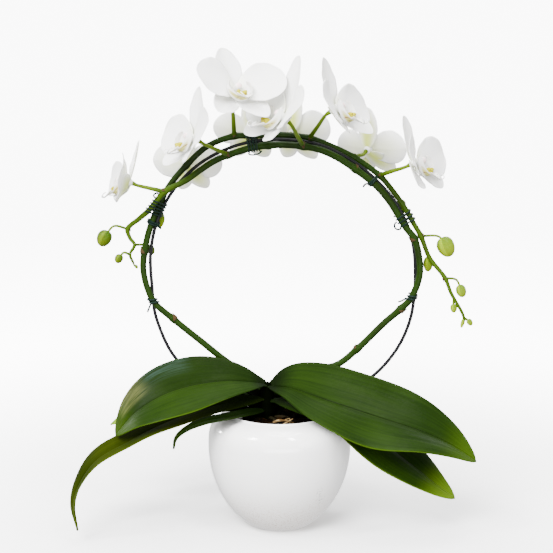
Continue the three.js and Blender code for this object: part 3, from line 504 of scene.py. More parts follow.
# %% Pot
POT_RADIUS = 72
POT_HEIGHT = 116
POT_WIDEST_Z = 83
POT_LOWER_DROP = 91
POT_MOUTH_RADIUS = 47.5
POT_LIP_RADIUS = 51
POT_WALL = 5
FOOT_RADIUS = 30
SHOULDER_POWER = 3.5
LIP_BEAD = 2
LIP_BELOW_TOP = 1.5
BEAD_TURN = (68, 195)
FOOT_EDGE = 0.6
GROW_BOTTOM_Z = 9
POT_INSIDE = [(POT_MOUTH_RADIUS + 0.6, POT_HEIGHT - 4), (POT_MOUTH_RADIUS + 5, POT_HEIGHT - 8),
              (POT_RADIUS - POT_WALL - 5, 101), (POT_RADIUS - POT_WALL, POT_WIDEST_Z),
              (POT_RADIUS - POT_WALL - 3, 60), (54, 34), (32, GROW_BOTTOM_Z)]


def pot_profile():
    """The outline from the middle of the foot, up the outside, over the lip and down the inside."""
    outer = [(0, 0), (FOOT_RADIUS - 2, 0), (FOOT_RADIUS - 1, 0.15)]
    foot_turn = math.acos(FOOT_RADIUS / POT_RADIUS)
    for turn in np.linspace(foot_turn, 0, 36):
        z = POT_WIDEST_Z - POT_LOWER_DROP * math.sin(turn)
        outer.append((POT_RADIUS * math.cos(turn), max(z, FOOT_EDGE)))
    lip_z = POT_HEIGHT - LIP_BELOW_TOP
    share = POT_LIP_RADIUS / POT_RADIUS
    rise = (lip_z - POT_WIDEST_Z) / (1 - share ** SHOULDER_POWER) ** (1 / SHOULDER_POWER)
    for step in np.linspace(0, 1, 25)[1:]:
        z = (lip_z - POT_WIDEST_Z) * math.sin(step * math.pi / 2)
        radius = POT_RADIUS * (1 - (z / rise) ** SHOULDER_POWER) ** (1 / SHOULDER_POWER)
        outer.append((radius, POT_WIDEST_Z + z))
    bead = POT_MOUTH_RADIUS + LIP_BEAD
    for turn in np.linspace(math.radians(BEAD_TURN[0]), math.radians(BEAD_TURN[1]), 9):
        z = POT_HEIGHT - LIP_BEAD + LIP_BEAD * math.sin(turn)
        outer.append((bead + LIP_BEAD * math.cos(turn), z))
    inside = Route([(radius, z, 0) for radius, z in POT_INSIDE])
    inner = [tuple(p[:2]) for p in inside.at(np.linspace(0, 1, 30))[0]]
    return [*outer, *inner, (0, GROW_BOTTOM_Z - 0.3)]


STAIN_RISE = (0.06, 0.002)
SMUDGES = [((0.0425, -0.052, 0.036), 0.011), ((0.04, -0.056, 0.047), 0.008)]


def glaze_finish():
    """White glaze, brown and speckled low down, with faint grey smudges on one side."""
    glaze = Finish("white_glaze", Roughness=0.22, Coat_Weight=1.0, Coat_Roughness=0.03)
    body = glaze.blend(glaze.noise(14, 2), (0.78, 0.775, 0.765), (0.81, 0.805, 0.795))
    low = glaze.step(glaze.height(), *STAIN_RISE)
    specks = glaze.step(glaze.noise(900, 2), 0.5, 0.68)
    stain = glaze.times(low, glaze.maths("MULTIPLY_ADD", specks, 0.7, 0.2))
    body = glaze.blend(stain, body, (0.36, 0.24, 0.15))
    place = glaze.add("TexCoord", {}).outputs["Object"]
    for centre, reach in SMUDGES:
        gap = glaze.add("VectorMath", {0: place, 1: centre}, operation="DISTANCE").outputs["Value"]
        near = glaze.step(gap, reach, 0)
        smudge = glaze.times(near, glaze.step(glaze.noise(420, 3), 0.5, 0.62))
        body = glaze.blend(glaze.times(smudge, 0.9), body, (0.22, 0.22, 0.23))
    glaze.colour(body)
    glaze.bump(glaze.noise(45, 1), 0.12)
    return glaze


pot = Shape()
add_turned(pot, pot_profile(), 160)
pot.piece("glazed_pot", [glaze_finish()], "glaze", "ceramic_pot")

# %% [markdown]
# Inside the glazed pot stands the thin plastic pot that the plant grows in. Only its edge shows from
# above. It is a straight cone with a rolled edge, turned in the same way.

# %% Grow pot
GROW_TOP_RADIUS = 44
GROW_FLANGE_RADIUS = 46.2
GROW_FOOT_RADIUS = 31
GROW_TOP_Z = 105
GROW_WALL = 1.2

plastic = Finish("grow_pot_plastic", Roughness=0.45)
plastic.colour(plastic.blend(plastic.noise(60, 3), (0.02, 0.014, 0.01), (0.034, 0.024, 0.018)))
plastic.bump(plastic.noise(700, 2), 0.05)
flange_z = GROW_TOP_Z - 3
grow_profile = [(0, GROW_BOTTOM_Z), (GROW_FOOT_RADIUS - 1, GROW_BOTTOM_Z),
                (GROW_FOOT_RADIUS, GROW_BOTTOM_Z + 1), (GROW_TOP_RADIUS, flange_z),
                (GROW_FLANGE_RADIUS - 0.3, flange_z), (GROW_FLANGE_RADIUS, flange_z + 0.3),
                (GROW_FLANGE_RADIUS, GROW_TOP_Z - 0.5), (GROW_FLANGE_RADIUS - 0.5, GROW_TOP_Z),
                (GROW_TOP_RADIUS - GROW_WALL, GROW_TOP_Z),
                (GROW_TOP_RADIUS - GROW_WALL - 0.3, GROW_TOP_Z - 1),
                (GROW_FOOT_RADIUS - GROW_WALL, GROW_BOTTOM_Z + GROW_WALL),
                (0, GROW_BOTTOM_Z + GROW_WALL)]
grow_pot = Shape()
add_turned(grow_pot, grow_profile, 96)
grow_pot.piece("plastic_grow_pot", [plastic], "grow_pot", "grow_pot")

# %% [markdown]
# The wire hoop is a ring, open at the bottom, whose two ends bend down into two straight legs. It is
# bent by hand, so the ring isn't quite round: at each of the angles below it lies a little outside or
# inside the true circle. A place near the hoop is always given in the same way, as an angle round it,
# how far outside the true circle and how far in front, because the spikes and ties follow the hoop.

# %% Hoop
HOOP_X = 3
HOOP_Y = 10
HOOP_Z = 254
HOOP_RADIUS = 136
HOOP_WIRE = 1.75
HOOP_BEND = (32.4, 119)
HOOP_LEG_X = 28
HOOP_LEG_TOP = 109
HOOP_LEG_BOTTOM = 70
HOOP_RING = [(-72, 0), (-60, 1.2), (-46, 2.6), (-32, 2.2), (-20, 0.6), (-10, -1.6), (0, -2.8),
             (10, -2.3), (20, -1.6), (35, -2.1), (50, -2.8), (62, -2.2), (75, -0.7), (88, -0.7),
             (100, 0.4), (112, 1.6), (125, 2.5), (138, 2.2), (150, 1.2), (160, -0.4), (170, -2.1),
             (178, -3.8), (185, -4.5), (193, -2.8), (200, -1.4), (216, 1.5), (232, 1.2), (252, 0)]


def by_hoop(angle, out, front):
    """A place near the hoop: an angle round it, how far outside it and how far in front."""
    reach = HOOP_RADIUS + out
    turn = math.radians(angle)
    return (HOOP_X + reach * math.cos(turn), HOOP_Y - front, HOOP_Z + reach * math.sin(turn))


def hoop_leg(side):
    """One leg, from its end up to where the ring begins."""
    heights = (HOOP_LEG_BOTTOM, (HOOP_LEG_BOTTOM + HOOP_LEG_TOP) / 2, HOOP_LEG_TOP)
    straight = [(HOOP_X + side * HOOP_LEG_X, HOOP_Y, z) for z in heights]
    return [*straight, (HOOP_X + side * HOOP_BEND[0], HOOP_Y, HOOP_BEND[1])]


ring = [by_hoop(angle, out, 0) for angle, out in HOOP_RING]
hoop_route = Route([*hoop_leg(1), *ring, *reversed(hoop_leg(-1))])
wire = Finish("black_coated_wire", Roughness=0.38, IOR=1.2)
wire.colour(wire.blend(wire.noise(120, 3), (0.002, 0.002, 0.0025), (0.006, 0.0065, 0.007)))
wire.bump(wire.noise(900, 2), 0.03)
hoop = Shape()
add_tube(hoop, hoop_route, lambda share: HOOP_WIRE, 14, np.linspace(0, 1, 400))
hoop.piece("black_wire_hoop", [wire], "wire", "wire_hoop")

# %% [markdown]
# A moth orchid leaf is thick and leathery. It is folded up along its midrib, and its margins bend
# over. The blade is a surface worked out from a spine, the midrib from the stem out to the tip. On
# each side of it a half goes off at an angle that changes along the spine: the near half, towards
# the front, and the far half. Both are measured from the photograph, because one half is seen flat
# and the other edge-on. The midrib is a fine crease, with shallow ridges along the veins beside it.

# %% Leaf places and sizes
LEAVES = {
    "leaf_left_upper": dict(
        spine=[(-14, -5, 145), (-34, -12, 149), (-55, -18, 151), (-87, -25, 148), (-115, -31, 140),
               (-141, -36, 124), (-161, -39, 102)],
        near=dict(width=36, rise=(-8, -23, -28, -25, -6)),
        far=dict(width=36, rise=(54, 49, 42, 41, 26)), early=1.1, full=0.6),
    "leaf_right_upper": dict(
        spine=[(-10, -6, 143.5), (14, -14, 142), (46, -23, 133), (94, -32, 119), (142, -37, 104),
               (168, -38, 92), (194, -38, 75)],
        near=dict(width=42, rise=(4, -17, -29, -18, -4)),
        far=dict(width=45, rise=(66, 46, 41, 45, 32)), early=0.82, full=0.6),
    "leaf_left_lower": dict(
        spine=[(-16, -8, 131), (-43, -14, 129), (-79, -24, 123), (-118, -34, 110), (-146, -42, 97),
               (-179, -50, 79), (-195, -55, 57), (-201, -58, 37), (-198, -60, 12)],
        near=dict(width=19, rise=(-20, -10, 2, 6, 10)),
        far=dict(width=19, rise=(32, 18, 18, 24, 8)), early=0.9, full=0.6),
    "leaf_right_lower": dict(
        spine=[(-8, -8, 130), (21, -14, 126), (45, -17, 122), (68, -20, 112), (92, -22, 98),
               (114, -24, 81), (142, -26, 59), (156, -27, 48), (175, -28, 34)],
        near=dict(width=30, rise=(-14, -14, -34, -32, -14)),
        far=dict(width=30, rise=(20, 6, 6, 40, 30)), early=1.1, full=0.6),
    "leaf_left_small": dict(
        spine=[(-15, -9, 119.6), (-46, -36, 120), (-73, -49, 118), (-90, -53, 112), (-100, -56, 104),
               (-103, -58, 94)],
        near=dict(width=8, rise=(-10, 2, 0, 5, 8)),
        far=dict(width=8, rise=(50, 40, 22, 14, 20)), early=0.9, full=0.5),
    "leaf_left_back": dict(
        spine=[(-12, 3, 125), (-33, 34, 134), (-82, 48, 137), (-130, 52, 118), (-177, 48, 89)],
        near=dict(width=24, rise=(-10, -6, -8, -10, -10)),
        far=dict(width=24, rise=(40, 26, 18, 16, 12)), early=0.95, full=0.6),
}
LEAF_CLAW = 0.16
LEAF_TIP = 0.9
LEAF_ARCH = 0.06
LEAF_MIDRIB_THICKNESS = 2.2
LEAF_MARGIN_THICKNESS = 0.9
CREASE_ROUND = 0.8
CREASE_DEPTH = 0.35
CREASE_WIDTH = 0.9
VEIN_RIDGE = 0.1
VEIN_TURNS = 30
MARGIN_WAVE = 0.5
MARGIN_WAVE_RUN = 13
RELIEF_WIDTH = 8

# %% Leaf surface
def gathered(row):
    """Rows lie closer at both ends of a blade, where its outline turns."""
    return (1 - np.cos(math.pi * row)) / 2


def smooth_run(values, share):
    """A smooth run through evenly spaced values."""
    values = np.array([values[0], *values, values[-1]], float)
    run = np.clip(share, 0, 1) * (len(values) - 3)
    low = np.minimum(run.astype(int), len(values) - 4)
    walk = run - low
    before, first, second, after = (values[low + k] for k in range(4))
    leave = (second - before) / 2
    arrive = (after - first) / 2
    bend = 3 * (second - first) - 2 * leave - arrive
    swing = 2 * (first - second) + leave + arrive
    return first + leave * walk + bend * walk ** 2 + swing * walk ** 3


def leaf_surface(leaf):
    """The middle of a leaf's blade as a function of across and along."""
    route = Route(leaf["spine"])
    near_side = -np.sign(route.sides[0][1])

    def surface(across, along):
        point, side, normal, _ = route.at(along)
        outline = np.sin(math.pi * along ** leaf["early"]).clip(0) ** leaf["full"]
        outline = np.maximum(outline, LEAF_CLAW * (1 - along))
        is_near = across * near_side > 0
        widest = np.where(is_near, leaf["near"]["width"], leaf["far"]["width"])
        width = np.maximum(widest * outline, LEAF_TIP)
        rise = np.radians(np.where(is_near, smooth_run(leaf["near"]["rise"], along),
                                   smooth_run(leaf["far"]["rise"], along)))
        out = np.abs(across) * width
        lifted = (np.sqrt(out ** 2 + CREASE_ROUND ** 2) - CREASE_ROUND) * np.sin(rise)
        arch = LEAF_ARCH * 4 * out * (1 - np.abs(across))
        wave = np.sin(along * route.length / MARGIN_WAVE_RUN + across * 2)
        wave = MARGIN_WAVE * wave * eased(along * 4) * across ** 2
        crease = CREASE_DEPTH * np.exp(-(out / CREASE_WIDTH) ** 2)
        ridges = VEIN_RIDGE * np.cos(across * VEIN_TURNS) * (1 - across ** 2)
        relief = (wave - crease + ridges) * np.minimum(1, width / RELIEF_WIDTH)
        aside = side * (across * width * np.cos(rise))[..., None]
        return point + aside + normal * (lifted + arch + relief)[..., None]

    return surface


def leaf_thickness(across, along):
    """Thickest at the midrib."""
    return mixed(LEAF_MIDRIB_THICKNESS, LEAF_MARGIN_THICKNESS, np.abs(across) ** 0.7)


# %% [markdown]
# A leaf is dark green above, with soft streaks along its length. Shade is painted into its colour
# along the folded midrib and towards the stem. A thin light margin runs round it, and the tip is
# lighter. The half that turns away has painted shade, and on one leaf it also carries a painted pale
# sheen and a painted yellow glint, which stand in for reflections. The green undersides and the small
# leaf are darkened as painted shade too. The index of refraction is set low, so that the bright
# studio doesn't wash the dark green out. The old leaf is olive and duller, and each leaf has its own
# share of all this.

# %% Leaf finishes
# Painted reflections on the far half of one leaf: a yellow glint band near the tip and a pale sheen.
PAINTED_GLINT_BAND = dict(rise=(0.66, 0.76), fall=(0.93, 0.86), colour=(0.05, 0.055, 0.018))
PAINTED_PALE_SHEEN = dict(rise=(0.4, 0.5), fall=(0.76, 0.64), colour=(0.016, 0.03, 0.022))
ROOT_SHADE = (0.0012, 0.003, 0.0004)


def leaf_finish(name, deep, fresh, under, margin, roughness, gloss, root_end, far, tip):
    """Streaked green, from a deep to a fresh colour, with its own margin and underside, and painted
    shade along the midrib crease. root_end is how far out the painted shade at the stem reaches. far
    says on which side of the midrib the half that turns away lies, how dark its painted shade is and
    how strong its painted glint band and painted sheen are. tip says how light the tip is, and gloss is
    the index of refraction."""
    leaf = Finish(name, IOR=gloss)
    across = leaf.maths("ABSOLUTE", leaf.mark("across"))
    streaks = leaf.grain(9, 1.2, 2.2, 4)
    patches = leaf.noise(18, 2)
    share = leaf.maths("ADD", leaf.times(streaks, 0.6), leaf.times(patches, 0.55))
    body = leaf.blend(leaf.step(share, 0.36, 0.8), deep, fresh)
    along = leaf.mark("along")
    # Painted shade: the half that turns away from the light is darkened by far's dark share.
    beyond = leaf.step(leaf.times(leaf.mark("across"), far["side"]), -0.01, 0.03)
    body = leaf.blend(leaf.times(beyond, far["dark"]), body, scaled(deep, 0.35))
    # Painted glint: a yellow band near the tip of the far half, standing in for a reflected light.
    painted_glint = leaf.between(along, PAINTED_GLINT_BAND["rise"], PAINTED_GLINT_BAND["fall"])
    painted_glint = leaf.times(leaf.times(painted_glint, beyond), leaf.step(across, 0.2, 0.45))
    painted_glint = leaf.times(painted_glint, leaf.step(leaf.grain(12, 3, 2, 2), 0.3, 0.6))
    body = leaf.blend(leaf.times(painted_glint, far["painted_reflection"]), body, PAINTED_GLINT_BAND["colour"])
    # Painted sheen: a pale band on the far half, standing in for a reflection of the sky.
    pale = leaf.between(along, PAINTED_PALE_SHEEN["rise"], PAINTED_PALE_SHEEN["fall"])
    pale = leaf.times(leaf.times(pale, beyond), leaf.step(across, 0.3, 0.75))
    pale = leaf.times(pale, leaf.step(leaf.grain(16, 2, 2, 2), 0.35, 0.65))
    body = leaf.blend(leaf.times(pale, far["painted_reflection"]), body, PAINTED_PALE_SHEEN["colour"])
    body = leaf.blend(leaf.times(leaf.step(along, 0.78, 1.0), tip), body, margin)
    # Painted shade in the folded midrib.
    crease = leaf.step(across, 0.03, 0.008)
    body = leaf.blend(leaf.times(crease, 0.8), body, scaled(deep, 0.3))
    root = leaf.step(along, root_end, 0.02)
    body = leaf.blend(leaf.times(root, 0.9), body, ROOT_SHADE)
    edge = leaf.times(leaf.step(across, 0.965, 0.995), leaf.step(along, 0.15, 0.5))
    body = leaf.blend(leaf.times(edge, 0.45), body, margin)
    below = leaf.step(leaf.mark("face"), 0.5, 0.4)
    body = leaf.blend(below, body, leaf.blend(streaks, under, scaled(under, 0.8)))
    leaf.colour(body)
    dull = leaf.times(leaf.step(along, 0.35, 0.12), 0.35)
    dull = leaf.maths("ADD", dull, leaf.times(leaf.grain(20, 2, 3, 2), 0.16))
    leaf.rough(dull, roughness - 0.06, roughness + 0.94)
    leaf.bump(leaf.maths("ADD", leaf.grain(46, 1.5, 2, 2), leaf.times(leaf.noise(520, 2), 0.35)), 0.1)
    return leaf


# GREEN's underside colour is darkened: painted shade for the shadow under the leaves.
GREEN = dict(deep=(0.0032, 0.0095, 0.0006), fresh=(0.008, 0.019, 0.0016), under=(0.006, 0.014, 0.001),
             margin=(0.035, 0.07, 0.002), roughness=0.3, gloss=1.1, root_end=0.12)
OLIVE = dict(deep=(0.007, 0.012, 0.0006), fresh=(0.018, 0.026, 0.001), under=(0.02, 0.032, 0.002),
             margin=(0.06, 0.09, 0.003), roughness=0.5, gloss=1.05, root_end=0.56)
# The small leaf's own dark green is darkened further to near black as painted shade, because it lies under
# the upper leaves, and the painted shade from the stem reaches far out along it.
PAINTED_SHADE_GREEN = dict(GREEN, deep=(0.0008, 0.0025, 0.0002), fresh=(0.004, 0.01, 0.0005),
            margin=(0.012, 0.026, 0.001), gloss=1.05, root_end=0.6)
LIGHT = dict(GREEN, margin=(0.09, 0.16, 0.003))
LEAF_FINISHES = {
    "leaf_left_upper": leaf_finish("leaf_far_half_painted_shade", **GREEN, tip=0.3,
                                   far=dict(side=1, dark=0.45, painted_reflection=0.8)),
    "leaf_right_upper": leaf_finish("leaf_green", **GREEN, tip=0.5,
                                    far=dict(side=-1, dark=0.1, painted_reflection=0)),
    "leaf_left_lower": leaf_finish("leaf_olive", **OLIVE, tip=0.2,
                                   far=dict(side=1, dark=0.3, painted_reflection=0)),
    "leaf_right_lower": leaf_finish("leaf_fresh_tip", **LIGHT, tip=0.6,
                                    far=dict(side=-1, dark=0.2, painted_reflection=0)),
    "leaf_left_small": leaf_finish("leaf_small_painted_shade", **PAINTED_SHADE_GREEN, tip=0.3,
                                   far=dict(side=1, dark=0.2, painted_reflection=0)),
    "leaf_left_back": leaf_finish("leaf_light_tip", **LIGHT, tip=1.0,
                                  far=dict(side=1, dark=0.0, painted_reflection=0)),
}

# %% Leaves
LEAF_COLUMNS = 40
LEAF_ROWS = 110

for node, leaf in LEAVES.items():
    shape = Shape()
    add_blade(shape, leaf_surface(leaf), LEAF_COLUMNS, LEAF_ROWS, leaf_thickness, row_at=gathered)
    slot = "leaf_old" if node == "leaf_left_lower" else "leaf"
    shape.piece(node + "_blade", [LEAF_FINISHES[node]], slot, node)

# %% [markdown]
# The blooms. Each has three sepals behind and two broad petals in front of them. All five are
# blades with a narrow claw at the root, a round end and a soft wave along the margin. A seeded draw
# varies them from bloom to bloom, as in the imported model, so that no two are alike. Where the
# photograph shows one that is turned, shorter or wider than its fellows, the bloom lists it as odd.

# %% Bloom places
BLOOMS = {
    1: dict(at=(-149, -8, 349), face=-78, lift=14, roll=14, size=0.82,
            spread=(76, 138), lean=(-0.16, 0.34, 0.3), spike="right", start=144,
            odd=[dict(which=1, turn=-8, length=0.74, width=1.4, lean=0.1),
                 dict(which=2, turn=22, length=0.7, width=1.2, lean=0.15)]),
    2: dict(at=(-82, -26, 392), face=-62, lift=22, roll=9, size=0.95,
            spread=(78, 136), lean=(0.14, 0.32, 0.34), spike="right", start=114),
    3: dict(at=(-94, 44, 363), face=162, lift=14, roll=-2, size=0.79,
            spread=(84, 152), lean=(0.15, 0.08, 0.34), spike="left", start=131),
    4: dict(at=(-42, -26, 437), face=26, lift=38, roll=-8, size=0.95,
            spread=(79, 143), lean=(0.1, 0.46, 0.24), spike="left", start=109,
            odd=[dict(which=0, turn=-13, length=0.9, width=1, lean=0)]),
    5: dict(at=(4, -28, 412), face=-60, lift=34, roll=-4, size=1.06,
            spread=(77, 128), lean=(0.3, 0.4, 0.27), spike="right", start=81,
            odd=[dict(which=1, turn=12, length=0.85, width=1.25, lean=0)]),
    6: dict(at=(-29, 40, 393), face=182, lift=16, roll=1, size=0.77,
            spread=(78, 145), lean=(0.15, 0.22, 0.35), spike="right", start=96),
    7: dict(at=(14, 57, 394), face=152, lift=12, roll=0, size=0.82,
            spread=(77, 146), lean=(0.15, 0.19, 0.31), spike="left", start=90),
    8: dict(at=(53, -24, 420), face=64, lift=24, roll=-6, size=1.0,
            spread=(84, 133), lean=(0.13, 0.35, 0.37), spike="left", start=79,
            odd=[dict(which=2, turn=-6, length=0.85, width=1.2, lean=0)]),
    9: dict(at=(90, 42, 378), face=147, lift=20, roll=1, size=0.81,
            spread=(87, 152), lean=(0.24, 0.15, 0.5), spike="left", start=59),
    10: dict(at=(132, -12, 368), face=61, lift=18, roll=-5, size=0.92,
             spread=(80, 133), lean=(-0.04, 0.39, 0.3), spike="left", start=46,
             odd=[dict(which=2, turn=-4, length=0.86, width=1.25, lean=0)]),
}
SEPAL = dict(width=27, root=1.2, set=-2, curl=0.06, cup=0.2, full=0.52, claw=0.26, early=1, slot=1)
PETAL = dict(width=44, root=1.6, set=1.5, curl=-0.08, cup=0.16, full=0.5, claw=0.14, early=1.05, slot=0)
TEPALS = [
    dict(SEPAL, side=0, spread=0, length=51, lean=0, seed=3),
    dict(SEPAL, side=1, spread=1, length=41, lean=2, seed=5),
    dict(SEPAL, side=-1, spread=1, length=41, lean=2, set=-3.6, seed=8),
    dict(PETAL, side=1, spread=0, length=47, lean=1, seed=13),
    dict(PETAL, side=-1, spread=0, length=47, lean=1, seed=21),
]
NOT_ODD = dict(turn=0, length=1, width=1, lean=0)

# %% Petals and sepals
def bloom_frame(bloom):
    """The bloom's own axes, right, top and front, and its place."""
    facing = math.radians(bloom["face"])
    lift = math.radians(bloom["lift"])
    out = Vector((math.sin(facing), -math.cos(facing), 0))
    front = out * math.cos(lift) + Vector((0, 0, math.sin(lift)))
    top = out * -math.sin(lift) + Vector((0, 0, math.cos(lift)))
    top = Matrix.Rotation(math.radians(bloom["roll"]), 3, front) @ top
    return np.array([top.cross(front), top, front]), np.array(bloom["at"], float)


def tepal_surface(tepal, bloom, number):
    """The middle of one petal or sepal, in the bloom's own axes."""
    draws = seeded_draw(tepal["seed"] * 100 + number)
    vary = lambda spread: (next(draws) - 0.5) * 2 * spread
    own = [odd for odd in bloom.get("odd", []) if odd["which"] == TEPALS.index(tepal)]
    odd = own[0] if own else NOT_ODD
    turn = tepal["side"] * bloom["spread"][tepal["spread"]] + odd["turn"]
    turn = math.radians(turn + vary(3))
    length = tepal["length"] * odd["length"] * bloom["size"] * (1 + vary(0.04))
    width = tepal["width"] * odd["width"] * bloom["size"] * (1 + vary(0.04))
    lean = bloom["lean"][tepal["lean"]] + odd["lean"] + vary(0.03)
    curl = tepal["curl"] + vary(0.05)
    wave_place = vary(math.pi)
    along_way = np.array((math.sin(turn), math.cos(turn), 0))
    across_way = np.array((math.cos(turn), -math.sin(turn), 0))

    def surface(across, along):
        outline = np.sin(math.pi * np.clip(along, 0, 1) ** tepal["early"]).clip(0) ** tepal["full"]
        half = width / 2 * np.maximum(np.maximum(outline, tepal["claw"] * (1 - along)), 0.06)
        ripple = 0.05 * half * across ** 2 * np.sin(wave_place + along * 7 + across * 2)
        frill = 0.018 * half * across ** 4 * np.sin(wave_place * 3 + along * 23 + across * 5)
        groove = 0.5 * np.exp(-(across * half / 1.4) ** 2) * (1 - along) * eased(along * 6)
        height = tepal["set"] + (lean + curl * along) * along * length
        height = height + tepal["cup"] * across ** 2 * half * eased(along * 3) + ripple + frill - groove
        flat = along_way * (tepal["root"] + along * length)[..., None]
        flat = flat + across_way * (across * half)[..., None]
        return flat + np.array((0, 0, 1)) * height[..., None]

    return surface


def tepal_thickness(across, along):
    """Thickest in the middle and at the claw."""
    return mixed(0.75, 0.4, np.abs(across)) * mixed(1.5, 1, eased(along * 5))


# %% [markdown]
# In the middle of a bloom the column stands out, and the lip hangs below it. The lip's two side
# lobes curve up round the column like a cup, and its front runs out into a narrow tongue that ends
# in two thin curled whiskers. The yellow callus sits where the lobes and the tongue meet.

# %% Lip, column and callus
LIP = dict(radius=12, middle=-5, lobe_turn=2.45, tongue_turn=0.5, tongue_from=0.6, drop=7, root=-2.5,
           narrow=3, near=2, far=23)
CALLUS = dict(y=-13.6, z=13, cushion=(6.2, 2.6, 4.2), lump=(2.5, 2.4, 4.2), aside=3, above=2,
              ahead=0.4, splay=0.25)
HUB_BACK = -5.4
COLUMN = [(0, HUB_BACK), (2.2, -5.2), (3.6, -3.6), (4.2, -1), (4.1, 2), (3.7, 5), (3.5, 7.4), (3.6, 8.6),
          (3.3, 9.8), (2.4, 10.8), (1.2, 11.3), (0, 11.5)]


def lip_surface(across, along):
    """The lip's sheet in the bloom's axes, for a bloom of size 1."""
    past = np.maximum(0, (along - LIP["tongue_from"]) / (1 - LIP["tongue_from"]))
    before = np.minimum(along / LIP["tongue_from"], 1)
    lobe = LIP["lobe_turn"] * np.sin(math.pi * before).clip(0) ** 0.5
    shoulder = 0.26 * np.exp(-((past - 0.42) / 0.2) ** 2)
    tongue = (LIP["tongue_turn"] + shoulder) * (1 - past ** 2).clip(0) ** 0.6
    turn = np.sign(across) * np.abs(across) ** 1.5 * np.maximum(np.maximum(lobe, tongue), 0.12)
    reach = mixed(LIP["root"], LIP["radius"], eased(along / 0.24))
    flare = 0.9 * eased((np.abs(turn) - 0.9) / 1.2)
    wide = np.maximum(reach, LIP["narrow"]) + flare
    keel = 0.9 * np.exp(-(across / 0.16) ** 2) * eased(past * 3)
    x = wide * np.sin(turn)
    y = LIP["middle"] - (reach + flare) * np.cos(turn) - LIP["drop"] * past ** 1.5 - keel
    z = mixed(LIP["near"], LIP["far"], along) + np.abs(turn) * 1.2
    return np.stack([x, y, z], -1)


def add_whiskers(shape, size, slot):
    """Two thin curls at the tip of the tongue."""
    for side in (-1, 1):
        points = [(side * 0.5, -23.6, 22.2), (side * 2, -24.6, 24.6), (side * 4.4, -23.4, 26),
                  (side * 5.8, -20.6, 25.2), (side * 5.2, -18.8, 23.4), (side * 4.2, -19.4, 22.4)]
        route = Route(np.array(points) * size)
        add_tube(shape, route, lambda share: mixed(0.75, 0.3, share), 6, np.linspace(0, 1, 18), slot)


def add_callus(shape, size):
    """The callus: two yellow lumps side by side on a low cushion."""
    ball = [(0, -1)] + [(math.sin(t), -math.cos(t)) for t in np.linspace(0, math.pi, 10)[1:-1]] + [(0, 1)]
    parts = [((0, CALLUS["y"], CALLUS["z"]), CALLUS["cushion"], 0.0)]
    for side in (-1, 1):
        centre = (side * CALLUS["aside"], CALLUS["y"] + CALLUS["above"], CALLUS["z"] + CALLUS["ahead"])
        parts.append((centre, CALLUS["lump"], side * CALLUS["splay"]))
    for centre, radii, splay in parts:
        turn = np.array([[math.cos(splay), 0, -math.sin(splay)], [0, 1, 0],
                         [math.sin(splay), 0, math.cos(splay)]])
        basis = np.diag(radii) @ turn * size
        add_turned(shape, ball, 14, basis, np.array(centre) * size)


# %% [markdown]
# Petals let a little light through, so their shader scatters light under the surface. They are
# nearly white, with very faint veins that fan out from the claw, a green tinge at the root and a
# greener back on the sepals. Their rims and the lip's rim carry a little painted shade, which parts
# one white petal from the next. The lip has fine red lines near the callus, and the callus is yellow
# with orange-red specks.

# %% Bloom finishes
WHITE = (0.76, 0.755, 0.735)
WHITE_SHADE = (0.66, 0.66, 0.64)


def petal_finish(name, back_green, root_green):
    """White with faint veins. back_green and root_green say how green the back and root are."""
    petal = Finish(name, Roughness=0.5, Subsurface_Weight=0.35, Subsurface_Scale=0.0025,
                   Subsurface_Radius=(1.0, 0.95, 0.8), Sheen_Weight=0.15, Sheen_Roughness=0.4)
    along = petal.mark("along")
    fan = petal.maths("ADD", petal.times(petal.mark("across"), 34), petal.times(petal.noise(60, 2), 3))
    veins = petal.maths("POWER", petal.maths("ABSOLUTE", petal.maths("SINE", fan)), 0.35)
    body = petal.blend(petal.noise(30, 2), WHITE_SHADE, WHITE)
    faint = petal.times(petal.maths("SUBTRACT", 1, veins), 0.4)
    body = petal.blend(faint, body, scaled(WHITE_SHADE, 0.88))
    root = petal.times(petal.step(along, 0.3, 0.0), root_green)
    body = petal.blend(root, body, (0.62, 0.7, 0.33))
    back = petal.times(petal.step(petal.mark("face"), 0.5, 0.4), back_green)
    stripe = petal.step(petal.maths("ABSOLUTE", petal.mark("across")), 1.15, 0.1)
    near = petal.step(along, 1.1, 0.35)
    back = petal.times(back, petal.times(stripe, near))
    body = petal.blend(back, body, (0.5, 0.57, 0.12))
    # Painted shade: the rims are greyed so that one white petal stands apart from the next.
    rim = petal.step(petal.maths("ABSOLUTE", petal.mark("across")), 0.95, 0.99)
    body = petal.blend(petal.times(rim, 0.3), body, (0.4, 0.4, 0.36))
    petal.colour(body)
    petal.bump(veins, 0.08)
    return petal


